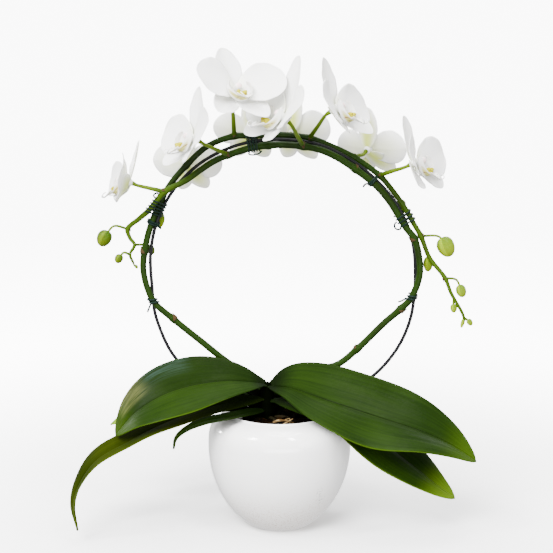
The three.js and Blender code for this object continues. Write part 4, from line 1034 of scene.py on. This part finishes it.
def lip_finish():
    """White, yellow in the throat, with red lines there."""
    lip = Finish("lip_white", Roughness=0.45, Subsurface_Weight=0.3, Subsurface_Scale=0.002,
                 Subsurface_Radius=(1.0, 0.9, 0.7))
    along = lip.mark("along")
    across = lip.maths("ABSOLUTE", lip.mark("across"))
    throat = lip.times(lip.step(along, 0.72, 0.5), lip.step(along, 0.28, 0.4))
    throat = lip.times(throat, lip.step(across, 0.8, 0.55))
    throat = lip.times(throat, lip.step(lip.mark("face"), 0.4, 0.6))
    body = lip.blend(lip.noise(70, 2), scaled(WHITE_SHADE, 0.9), WHITE_SHADE)
    # Painted shade along the lip's rim.
    rim = lip.step(across, 0.93, 0.99)
    body = lip.blend(lip.times(rim, 0.35), body, (0.42, 0.38, 0.32))
    body = lip.blend(lip.times(throat, 0.85), body, (0.36, 0.34, 0.01))
    lines = lip.maths("SINE", lip.maths("ADD", lip.times(lip.mark("across"), 30), lip.times(along, 9)))
    lines = lip.times(lip.step(lines, 0.55, 0.9), throat)
    lines = lip.times(lines, lip.step(lip.noise(380, 2), 0.35, 0.55))
    body = lip.blend(lip.times(lines, 0.9), body, (0.12, 0.002, 0.006))
    lip.colour(body)
    lip.bump(lip.noise(260, 2), 0.08)
    return lip


def column_finish():
    """White, with a pink flush on its end."""
    column = Finish("column_white", Roughness=0.35, Subsurface_Weight=0.3, Subsurface_Scale=0.003,
                    Subsurface_Radius=(1.0, 0.8, 0.7))
    flush = column.times(column.step(column.mark("along"), 0.86, 1.0), 0.45)
    body = column.blend(column.noise(90, 2), WHITE_SHADE, WHITE)
    column.colour(column.blend(flush, body, (0.75, 0.36, 0.4)))
    column.bump(column.noise(300, 2), 0.05)
    return column


def callus_finish():
    """Yellow with orange-red specks."""
    callus = Finish("callus_yellow", Roughness=0.5, IOR=1.2)
    body = callus.blend(callus.noise(240, 2), (0.25, 0.225, 0.0), (0.34, 0.32, 0.0))
    specks = callus.step(callus.noise(500, 2), 0.58, 0.64)
    callus.colour(callus.blend(callus.times(specks, 0.6), body, (0.16, 0.015, 0.0)))
    callus.bump(callus.noise(600, 2), 0.1)
    return callus


# %% Blooms
bloom_finishes = [petal_finish("petal_white", 0.3, 0.3), petal_finish("sepal_white", 1.0, 0.5),
                  lip_finish(), column_finish()]
callus_yellow = callus_finish()
bloom_places = {number: bloom_frame(bloom) for number, bloom in BLOOMS.items()}


def set_in_place(shape, number):
    """Moves a shape from a bloom's own axes to the bloom's place."""
    basis, centre = bloom_places[number]
    shape.points = [points @ basis + centre for points in shape.points]


for number, bloom in BLOOMS.items():
    local = Shape()
    for tepal in TEPALS:
        columns = 22 if tepal["slot"] == 0 else 14
        add_blade(local, tepal_surface(tepal, bloom, number), columns, 30, tepal_thickness,
                  tepal["slot"], gathered)
    sized_lip = lambda across, along: lip_surface(across, along) * bloom["size"]
    add_blade(local, sized_lip, 28, 34, lambda across, along: mixed(0.9, 0.5, np.abs(across)), 2)
    add_whiskers(local, bloom["size"], 2)
    add_turned(local, COLUMN, 20, slot=3)
    set_in_place(local, number)
    local.piece(f"open_bloom_{number}", bloom_finishes, "petal", f"bloom_{number}")
    yellow = Shape()
    add_callus(yellow, bloom["size"])
    set_in_place(yellow, number)
    yellow.piece(f"yellow_callus_{number}", [callus_yellow], "callus", f"callus_{number}")

# %% [markdown]
# The flower spikes. Each climbs out of the stem, swings out to the hoop and follows it round. It
# swells at its nodes, where a dry brown scale wraps it, and every bloom hangs on a paler stalk of
# its own. The thin ends zigzag from bud to bud.

# %% Spike routes
SPIKES = {
    "left": dict(
        start=[(-17, 3, 141), (-28, 11, 150), (-50, 13.5, 162)],
        route=[(-141, -29.3, 0), (-158, -17.6, 2.5), (-168, -5, 5.4), (-175, 0, 4.4),
               (177, 3.4, 3.4), (170, 3.8, 3), (163, 4.2, 2), (157, 4.8, 1), (150, 5.6, 0),
               (142, 7.8, -1), (131, 9.4, -1.6), (120, 12.6, -2), (109, 10.6, -1.6),
               (103, 6.6, -2), (97, 4.6, -2.6), (90, 3.8, -3), (79, 3.2, -4), (69, 1.4, -4.8),
               (59, 1.2, -5.2), (46, 2.6, -5.4), (38, 2.4, -3.6), (29, 3.2, -1.8), (22, 4.6, 0),
               (16, 7.6, 0.6), (7, 12, 1), (-1, 27, 2), (-6, 34, 2.4), (-12, 49, 2.4),
               (-14, 53, 2.4)],
        radius=(3.3, 3.4, 3.2, 3.3, 3.1, 3.1, 3.1, 3, 2.8, 2.3, 1.5),
        nodes=(-158, 170, 131, 109, 79, 59, 46, 16, -1), dry=(-158, 170)),
    "right": dict(
        start=[(-4, 6, 133), (12, 12, 148), (36, 12.5, 157)],
        route=[(-59, -28.6, -0.5), (-45, -29, 0.5), (-25, -22.4, 2.5), (-16, -12.8, 4.2),
               (-10, -5.4, 5.6), (0, 0.8, 5.2), (8, 1.4, 5.2), (16, 0.2, 5.6), (22, -4.4, 4.2),
               (28, -6, 3.2), (35, -6.3, 3), (44, -6.7, 3), (56, -7.6, 3.2), (66, -6.2, 3),
               (74, -5.2, 3), (81, -5.5, 3.4), (89, -5.6, 2.6), (96, -5.5, 2.6), (103, -5, 2.6),
               (114, -4.3, 2.8), (121, -3.2, 2.8), (128, -2.8, 4), (135, -1, 6.4), (144, 7.8, 8.2),
               (149, 9.6, 8), (153, 11.4, 7.4), (158, 17.4, 6), (163, 25, 4.4), (166, 20.5, 4.2),
               (168, 14.6, 4.6), (172, 17.6, 4.2), (175, 13.6, 4)],
        radius=(3.2, 3.3, 3.4, 3.4, 3.4, 3.5, 3.5, 3.5, 3.1, 2.8, 1.3),
        nodes=(-45, -16, 16, 56, 81, 96, 114, 144, 163), dry=(-16, 16)),
}
BUDS = {
    "left": [
        dict(root=(157, 4.8, 1), bend=(153, -1.6, -6.4), at=(156.4, -2.4, -9), size=(15, 8.5)),
        dict(root=(31, 3, -1.4), bend=(31, 3.6, -7), at=(29, -1, -12), size=(21, 12)),
        dict(root=(16, 7.6, 0.6), bend=(14, 25, 1.5), at=(10, 30, 2), size=(21, 18)),
        dict(root=(7, 12, 1), bend=(6, 11.5, -4), at=(4, 11, -6), size=(16, 10)),
        dict(root=(-1, 27, 2), bend=(-1.4, 38, 3), at=(-5, 44, 3), size=(13, 10.5)),
        dict(root=(-8, 38, 2.4), bend=(-9, 38, 2.4), at=(-11, 39.4, 2.4), size=(9, 7)),
        dict(root=(-13.4, 52, 2.4), bend=(-13.6, 55, 2.4), at=(-14.2, 58.6, 2.4), size=(7.5, 6)),
        dict(root=(-13.6, 52.4, 2.4), bend=(-14.2, 52.2, 2.4), at=(-15, 51.8, 2.4), size=(10, 4)),
    ],
    "right": [
        dict(root=(163, 25, 4.4), bend=(163.4, 39, 5), at=(168, 45.4, 5), size=(17, 15)),
        dict(root=(168, 14.6, 4.6), bend=(168, 3, -7.4), at=(169.6, -1, -10), size=(11, 8.4)),
        dict(root=(172, 17.6, 4.2), bend=(171.6, 24, 4.6), at=(174, 28.2, 4.6), size=(9.5, 8.5)),
        dict(root=(175, 13.6, 4), bend=(176, 12, 5.4), at=(176.2, 10, 7.6), size=(5, 3.4)),
    ],
}
NODE_SWELL = 0.24
NODE_HALF_LENGTH = 5
STALK_BASE = 2.4
STALK_TOP = 1.6
STALK_FLARE = 0.7
STALK_END_SWELL = 0.8
DRY_SCALE = dict(length=6.5, wrap=1.7)
SMALL_SCALE = dict(length=4, wrap=1.1)

# %% Stems, stalks, buds and scales
STEM, STALK, BUD, SCALE = range(4)


def add_spike_stem(shape, spike, route, nodes):
    """The main stem, swollen at its nodes."""
    def radius(share):
        run = np.linspace(0, 1, len(spike["radius"]))
        swell = np.ones_like(share, dtype=float)
        for node in nodes:
            gap = np.abs(share - node) * route.length / NODE_HALF_LENGTH
            swell = swell + NODE_SWELL * np.exp(-(gap * 1.5) ** 2)
        return np.interp(share, run, spike["radius"]) * swell

    add_tube(shape, route, radius, 14, np.linspace(0, 1, 300), STEM)
    return radius


def add_scale(shape, route, radius, share, out, length, wrap):
    """A dry scale that wraps the stem at a node and ends in a point."""
    length = length / route.length

    def surface(across, along):
        here = share + (along - 0.25) * length
        point, side, normal, _ = route.at(here)
        _, middle_side, middle_normal, _ = route.at(share)
        facing = math.atan2(-np.dot(out, middle_normal), np.dot(out, middle_side))
        turn = facing + across * wrap * np.maximum((1 - along ** 1.4) ** 0.8, 0.06)
        ring = side * np.cos(turn)[..., None] - normal * np.sin(turn)[..., None]
        reach = radius(here) + 0.3 + 0.8 * along ** 3
        return point + ring * reach[..., None]

    add_blade(shape, surface, 12, 10, lambda across, along: 0.45 - 0.2 * along, SCALE)


def add_stalk(shape, number, spike_start):
    """A flower stalk, from the spike to just behind the bloom. Gives back its direction."""
    basis, centre = bloom_places[number]
    end = np.array((0, 0, HUB_BACK + 0.6)) @ basis + centre
    before = np.array((0, -1, HUB_BACK - 5)) @ basis + centre
    start = np.array(spike_start)
    route = Route([start, mixed(start, before, 0.5), before, end])

    def radius(share):
        foot = STALK_FLARE * (1 - eased(share * 9))
        end = STALK_END_SWELL * eased((share - 0.86) / 0.14)
        return mixed(STALK_BASE, STALK_TOP, share) + foot + end

    add_tube(shape, route, radius, 12, np.linspace(0, 1, 36), STALK)
    return before - start


def add_bud(shape, bud):
    """A bud on its thin stalk: three sepals closed to a blunt point."""
    root, bend, middle = (np.array(by_hoop(*bud[key])) for key in ("root", "bend", "at"))
    length, width = bud["size"]
    thin = min(1.1, width / 4)
    add_tube(shape, Route([root, bend, middle]), lambda share: thin * (1.25 - 0.25 * share), 10,
             np.linspace(0, 1, 16), STALK)
    way = unit(unit(middle - bend) + np.array((0, 0, -0.5)))
    side = unit(np.cross(way, (0, 1, 0.2)))
    basis = np.array([side, np.cross(way, side), way])
    turn = np.linspace(0, math.pi, 17)
    profile = [(math.sin(t) ** 0.9 * width / 2 * (1 + 0.12 * math.cos(t)), -math.cos(t) * length / 2)
               for t in turn]
    profile[0] = (0, -length / 2)
    profile[-1] = (0, length / 2)
    ribs = lambda around: 1 - 0.06 * np.abs(np.cos(around * 1.5)) ** 8
    add_turned(shape, profile, 24, basis, middle, BUD, ribs)


# %% [markdown]
# The stems are green, mottled with darker patches and fresher towards the tip. The stalks are
# yellow-green, darker where they leave the spike. The buds are yellow-green too, paler on the left
# spike than on the right one. The scales are thin, dry and brown.

# %% Spike finishes
def stem_finish():
    """Dark green in long streaks, with a fresher end."""
    stem = Finish("spike_green", Roughness=0.4, IOR=1.15)
    streaks = stem.grain(5, 60, 1.6, 3)
    body = stem.blend(streaks, (0.003, 0.0095, 0.0004), (0.0085, 0.024, 0.0008))
    young = stem.step(stem.mark("along"), 0.72, 0.92)
    body = stem.blend(stem.times(young, 0.8), body, (0.03, 0.058, 0.0015))
    dark = stem.times(stem.step(stem.noise(26, 2), 0.45, 0.75), 0.5)
    stem.colour(stem.blend(dark, body, (0.004, 0.006, 0.001)))
    stem.bump(streaks, 0.12)
    return stem


def stalk_finish():
    """Yellow-green, darker at its start."""
    stalk = Finish("stalk_green", Roughness=0.42, IOR=1.2)
    share = stalk.step(stalk.mark("along"), 0, 0.6)
    body = stalk.blend(share, (0.012, 0.03, 0.001), (0.07, 0.11, 0.002))
    body = stalk.blend(stalk.times(stalk.grain(6, 8, 2, 2), 0.4), body, (0.035, 0.065, 0.001))
    stalk.colour(body)
    stalk.bump(stalk.grain(10, 8, 2, 2), 0.08)
    return stalk


def bud_finish(name, deep, fresh):
    """From a deep to a fresh green, with light seams between the three sepals."""
    bud = Finish(name, Roughness=0.45, IOR=1.2, Subsurface_Weight=0.1, Subsurface_Scale=0.002)
    seams = bud.maths("ABSOLUTE", bud.maths("COSINE", bud.times(bud.mark("across"), 3 * math.pi)))
    seams = bud.step(seams, 0.85, 1.0)
    body = bud.blend(bud.step(bud.mark("along"), 0, 0.9), deep, fresh)
    body = bud.blend(bud.times(seams, 0.4), body, scaled(fresh, 2.2))
    body = bud.blend(bud.times(bud.noise(150, 3), 0.3), body, deep)
    bud.colour(body)
    bud.bump(bud.noise(300, 2), 0.08)
    return bud


def scale_finish():
    """Matt brown, streaked."""
    scale = Finish("dry_brown_scale", Roughness=0.75, IOR=1.2)
    body = scale.blend(scale.grain(8, 6, 2, 3), (0.012, 0.007, 0.002), (0.05, 0.03, 0.012))
    scale.colour(body)
    scale.bump(scale.grain(20, 4, 2, 2), 0.15)
    return scale


spike_green, stalk_green, dry_scale = stem_finish(), stalk_finish(), scale_finish()
bud_greens = {"left": bud_finish("bud_pale_green", (0.055, 0.1, 0.0), (0.14, 0.19, 0.001)),
              "right": bud_finish("bud_deep_green", (0.02, 0.045, 0.0), (0.06, 0.085, 0.0))}

# %% Spikes
spike_courses = {}
for side, spike in SPIKES.items():
    shape = Shape()
    route = Route([*spike["start"], *(by_hoop(*place) for place in spike["route"])])
    places = {place[0]: by_hoop(*place) for place in spike["route"]}
    nodes = [route.nearest(places[angle]) for angle in spike["nodes"]]
    radius = add_spike_stem(shape, spike, route, nodes)
    spike_courses[side] = (route, radius)
    stalk_ways = {}
    for number, bloom in BLOOMS.items():
        if bloom["spike"] == side:
            stalk_ways[bloom["start"]] = add_stalk(shape, number, places[bloom["start"]])
    for turn, (angle, node) in enumerate(zip(spike["nodes"], nodes)):
        outward = np.array(places[angle]) - np.array((HOOP_X, HOOP_Y, HOOP_Z))
        way = stalk_ways.get(angle, outward * (1 if turn % 2 else -1))
        size = DRY_SCALE if angle in spike["dry"] else SMALL_SCALE
        add_scale(shape, route, radius, node, unit(way), **size)
    for bud in BUDS[side]:
        add_bud(shape, bud)
    finishes = [spike_green, stalk_green, bud_greens[side], dry_scale]
    shape.piece(f"spike_{side}_with_buds", finishes, "spike", f"flower_spike_{side}")

# %% [markdown]
# The stem is short and hidden between the leaf bases. Thick air roots leave it, bend over and go
# down into the bark. They are tubes with a slow swell. The bases of old leaves stand round the stem
# as short, cupped blades. All of this lies in the shade under the leaves, where the photograph is
# nearly black, so both finishes are dark and matt, with a hint of green where a root is damp.

# %% Stem and roots
CROWN = dict(x=-12, y=-4, radius=7.5, bottom=88, top=148)
ROOTS = [
    [(-11, -6, 110), (-6, -17, 112), (0, -26, 107), (3, -29, 96), (3, -29, 74)],
    [(-13, -4, 109), (-22, -12, 111), (-28, -16, 106), (-29, -17, 96), (-27, -16, 72)],
    [(-11, -4, 109), (3, -8, 112), (14, -12, 108), (17, -13, 97), (16, -12, 66)],
    [(-12, -2, 108), (-15, 10, 113), (-15, 20, 108), (-13, 22, 95), (-11, 21, 68)],
]
ROOT_RADIUS = 2.4
ROOT_SKIN, CROWN_SKIN = range(2)
SHEATHS = [
    ([(-14, 2, 118), (-24, 6, 130), (-36, 9, 136), (-50, 12, 138)], 22),
    ([(-14, 0, 112), (-24, 8, 120), (-38, 12, 125), (-52, 16, 127)], 22),
    ([(-8, 2, 118), (0, 6, 128), (8, 9, 132), (18, 12, 132)], 22),
    ([(-8, 0, 110), (2, 8, 119), (14, 12, 122), (26, 15, 121)], 20),
    ([(-12, 2, 120), (-12, 10, 130), (-12, 15, 136), (-12, 20, 139)], 20),
    ([(-16, -2, 110), (-36, -7, 118), (-56, -11, 119.3), (-78, -14, 115.5)], 21),
]

root_skin = Finish("root_skin", Roughness=0.8, IOR=1.08)
damp = root_skin.step(root_skin.noise(70, 3), 0.4, 0.7)
root_skin.colour(root_skin.blend(damp, (0.008, 0.006, 0.003), (0.003, 0.004, 0.0015)))
root_skin.bump(root_skin.noise(500, 3), 0.2)
crown_skin = Finish("crown_skin", Roughness=0.7, IOR=1.03)
crown_shades = ((0.0002, 0.0004, 0.0001), (0.0008, 0.0014, 0.0003))
crown_skin.colour(crown_skin.blend(crown_skin.noise(90, 3), *crown_shades))
crown_skin.bump(crown_skin.noise(200, 3), 0.3)


def root_radius(share):
    """A root thins towards its end and swells a little here and there."""
    return ROOT_RADIUS * (1 - 0.3 * share) * (1 + 0.07 * np.sin(share * 19))


def trunk_profile():
    """The outline of the stem from its foot to its top, with low rings."""
    profile = [(0, CROWN["bottom"])]
    for share in np.linspace(0, 1, 40)[1:-1]:
        rings = 0.5 * abs(math.sin(share * 22))
        taper = 1 - 0.5 * max(0, (share - 0.6) / 0.4) ** 2
        radius = (CROWN["radius"] - 0.5) * taper * min(1, 0.6 + share * 3) + rings
        profile.append((radius, mixed(CROWN["bottom"], CROWN["top"], share)))
    return [*profile, (0, CROWN["top"])]


def sheath_surface(points, width):
    """The middle of an old leaf base as a function of across and along."""
    route = Route(points)

    def surface(across, along):
        point, side, normal, _ = route.at(along)
        outline = np.maximum(np.sin(math.pi * along ** 0.6).clip(0) ** 0.5, 0.2 * (1 - along))
        half = np.maximum(width / 2 * outline, 0.5)
        cup = 0.3 * across ** 2 * half
        return point + side * (across * half)[..., None] + normal * cup[..., None]

    return surface


crown = Shape()
for points in ROOTS:
    add_tube(crown, Route(points), root_radius, 14, np.linspace(0, 1, 50), ROOT_SKIN)
add_turned(crown, trunk_profile(), 24, centre=(CROWN["x"], CROWN["y"], 0), slot=CROWN_SKIN)
for points, width in SHEATHS:
    add_blade(crown, sheath_surface(points, width), 10, 16, lambda across, along: mixed(1.6, 0.7, along),
              CROWN_SKIN)
crown.piece("crown_and_roots", [root_skin, crown_skin], "root", "stem_and_roots")

# %% [markdown]
# The fill is damp bark: its own dark brown, darkened further as painted shade from the leaves above
# it. A low mound carries many loose chips. Each chip is an uneven flat block with its own size, tilt
# and turn, drawn from a seeded list, with flat faces, because bark breaks along flat planes. A few
# pale bits and a twig lie near the front of the rim.

# %% Bark finish
def bark_finish(name, dark, light):
    """Rough layers between two colours."""
    bark = Finish(name, Roughness=0.9, IOR=1.04)
    layers = bark.noise(160, 5, (1, 1, 3), 0.65)
    bark.colour(bark.blend(bark.step(layers, 0.35, 0.7), dark, light))
    bark.bump(bark.noise(420, 5, (1, 1, 2), 0.6), 0.6)
    return bark


# The dark and brown bark colours are the bark's own dark browns, darkened further as painted shade.
bark_finishes = [bark_finish("dark_bark_with_painted_shade", (0.0008, 0.0005, 0.0003), (0.003, 0.0016, 0.0008)),
                 bark_finish("brown_bark", (0.002, 0.001, 0.0004), (0.012, 0.006, 0.002)),
                 bark_finish("pale_twig", (0.05, 0.026, 0.009), (0.24, 0.17, 0.08))]

# %% Bark mound and chips
DARK_BARK, BROWN_BARK, PALE_TWIG = range(3)
BARK_TOP_Z = 106
BARK_MOUND = 5
BARK_RADIUS = GROW_TOP_RADIUS - GROW_WALL - 0.3
CHIP_COUNT = 130
CHIP_SEED = 5
CHIP_STEP = 2.39996
CHIP_TILT = 1.1
BROWN_SHARE = 0.22


def add_chip(shape, draws, centre, size, slot):
    """One chip: an uneven flat block with worn edges."""
    corners = 7
    angles = np.sort([(k + 0.6 * next(draws)) / corners * 2 * math.pi for k in range(corners)])
    outline = np.array([(math.cos(a) * (0.75 + 0.4 * next(draws)), math.sin(a) * (0.75 + 0.4 * next(draws)))
                        for a in angles]) * np.array(size[:2]) / 2
    thick = size[2] / 2
    rings = [np.column_stack([outline * share, np.full(corners, height)])
             for share, height in ((0.8, -thick), (1, -thick * 0.5), (0.96, thick * 0.5), (0.74, thick))]
    points = np.vstack(rings)
    points += np.array([[(next(draws) - 0.5) * 0.16 * size[2] for _ in range(3)] for _ in points])
    tilts = [Matrix.Rotation((next(draws) - 0.5) * CHIP_TILT, 3, axis) for axis in "XY"]
    turn = np.array(Matrix.Rotation(next(draws) * 2 * math.pi, 3, "Z") @ (tilts[0] @ tilts[1]))
    faces = side_faces(len(rings), corners)
    faces.append(tuple(range(corners - 1, -1, -1)))
    faces.append(tuple(range(3 * corners, 4 * corners)))
    shape.add(points @ turn.T + np.array(centre), faces, slot, smooth=False)


bark = Shape()
floor_z = GROW_BOTTOM_Z + GROW_WALL + 0.3
mound = [(0, floor_z), (GROW_FOOT_RADIUS - GROW_WALL - 0.3, floor_z), (BARK_RADIUS - 0.8, BARK_TOP_Z - 7)]
mound += [(BARK_RADIUS * math.cos(t), BARK_TOP_Z - 6 + 9 * math.sin(t)) for t in np.linspace(0.1, 1.5, 12)]
mound.append((0, BARK_TOP_Z + 3))
add_turned(bark, mound, 48)
draws = seeded_draw(CHIP_SEED)
for chip in range(CHIP_COUNT):
    turn = chip * CHIP_STEP
    reach = math.sqrt((chip + 0.5) / CHIP_COUNT) * (BARK_RADIUS - 5)
    height = BARK_TOP_Z - 1.5 + BARK_MOUND * (1 - (reach / BARK_RADIUS) ** 2) + next(draws) * 2.2
    size = (6 + next(draws) * 8, 4 + next(draws) * 6, 2 + next(draws) * 2.5)
    slot = BROWN_BARK if next(draws) < BROWN_SHARE else DARK_BARK
    add_chip(bark, draws, (reach * math.cos(turn), reach * math.sin(turn), height), size, slot)
print("chips:", CHIP_COUNT)

# %% Pale bits at the front of the rim
TWIGS = [
    (1.3, PALE_TWIG, [(-6, -32, 113), (0, -35, 116), (8, -34, 115), (14, -32, 112)]),
    (0.8, BROWN_BARK, [(-4, -36, 112), (2, -32, 117.5), (5, -27, 115)]),
    (1.0, PALE_TWIG, [(3, -37, 112), (9, -37, 115.5), (13, -33, 117)]),
    (0.7, BROWN_BARK, [(-14, -33, 111), (-9, -36, 114), (-3, -37, 113)]),
    (0.6, PALE_TWIG, [(6, -29, 115), (10, -33, 117), (10, -37, 113)]),
]
for thick, slot, points in TWIGS:
    add_tube(bark, Route(points), lambda share: thick * (1 - 0.4 * share), 8, np.linspace(0, 1, 14), slot)
bark.piece("bark_fill", bark_finishes, "bark", "potting_bark")

# %% [markdown]
# Thin coated wire ties hold the spikes to the hoop. Each is wound tightly round both, and its loose
# end is turned up or bent into a small loop. To find where a turn lies, the hoop and the spikes are
# cut at the same angle. Each gives a round spot, and the wire lies on the outermost of them, in each
# direction round the bundle.

# %% Ties
TIES = {
    "tie_top": dict(angle=102.5, turns=4, run=11, first=150, wire=0.7, holds=("left", "right"),
                    end=[(105.4, -9.8, 4.6), (104, -11.8, 4.2), (101, -12, 4), (99.4, -10, 3.6)]),
    "tie_left_coil": dict(angle=151, turns=5, run=-15, first=60, wire=0.7, holds=("left", "right"),
                          end=[(147.6, 14.8, 10), (146.4, 14.2, 9.6), (146, 12, 9.2), (147, 10, 9)]),
    "tie_left_clip": dict(angle=157.6, turns=2, run=4, first=190, wire=0.9, holds=("left",),
                          end=[(158.6, -4.4, 0.4), (158.8, -6, 1)]),
    "tie_left_low": dict(angle=-168.8, turns=2, run=6, first=-20, wire=0.8, holds=("left",),
                         end=[(-166, 2.4, 0.4), (-164.6, 4.8, 1.6)]),
    "tie_right_clip": dict(angle=46.6, turns=2, run=4, first=200, wire=0.8, holds=("right",),
                           end=[(48.2, -13.6, 2.6), (48, -16.6, 2.6)]),
    "tie_right_coil": dict(angle=25.4, turns=3, run=-13, first=180, wire=0.75,
                           holds=("left", "right"),
                           end=[(22, -9.6, 6), (22.3, -12.8, 6), (23.7, -14.3, 5.8),
                                (25.1, -13, 5.6), (25.5, -10.4, 5.4)]),
    "tie_right_low": dict(angle=-9.2, turns=2, run=-6, first=190, wire=0.8, holds=("right",),
                          end=[(-12, -13.6, 4.4), (-12.8, -16.8, 4.4)]),
}
TIE_POINTS_PER_TURN = 24
TIE_ROOM = 0.05
TIE_COAT = 1.2
TIE_RINGS_PER_TURN = 110
TIE_END_RINGS = 30
CROSSING_SHARES = np.linspace(0, 1, 4001)


def crossing(course, angle):
    """Where a course crosses an angle of the hoop: how far out, how far in front, and its radius."""
    route, radius = course
    points, _, _, ways = route.at(CROSSING_SHARES)
    angles = np.degrees(np.arctan2(points[:, 2] - HOOP_Z, points[:, 0] - HOOP_X))
    best = np.abs((angles - angle + 180) % 360 - 180).argmin()
    x, y, z = points[best]
    turn = math.radians(angle)
    askew = abs(ways[best] @ (-math.sin(turn), 0, math.cos(turn)))
    half = float(radius(CROSSING_SHARES[best])) / askew
    return math.hypot(x - HOOP_X, z - HOOP_Z) - HOOP_RADIUS, HOOP_Y - y, half


def tie_route(tie):
    """The wound path of one tie."""
    courses = [(hoop_route, lambda share: HOOP_WIRE), *(spike_courses[side] for side in tie["holds"])]
    places = []
    for share in np.linspace(0, 1, round(tie["turns"] * TIE_POINTS_PER_TURN) + 1):
        turn = math.radians(tie["first"] + share * tie["turns"] * 360)
        angle = tie["angle"] + math.degrees((share - 0.5) * tie["run"] / HOOP_RADIUS)
        aside, ahead = math.cos(turn), math.sin(turn)
        spots = [crossing(course, angle) for course in courses]
        out, front, half = max(spots, key=lambda spot: spot[0] * aside + spot[1] * ahead + spot[2])
        room = half + tie["wire"] + TIE_ROOM
        places.append((angle, out + aside * room, front + ahead * room))
    return Route([by_hoop(*place) for place in [*places, *tie["end"]]], steps=4)


tie_coat = Finish("tie_coat", Roughness=0.4, IOR=1.2)
tie_coat.colour(tie_coat.blend(tie_coat.noise(300, 2), (0.0012, 0.004, 0.003), (0.004, 0.013, 0.009)))
tie_coat.bump(tie_coat.noise(900, 2), 0.05)
for node, tie in TIES.items():
    shape = Shape()
    thick = tie["wire"] * TIE_COAT
    shares = np.linspace(0, 1, round(tie["turns"] * TIE_RINGS_PER_TURN) + TIE_END_RINGS)
    add_tube(shape, tie_route(tie), lambda share: thick, 8, shares)
    shape.piece(node + "_wire", [tie_coat], "tie", node)
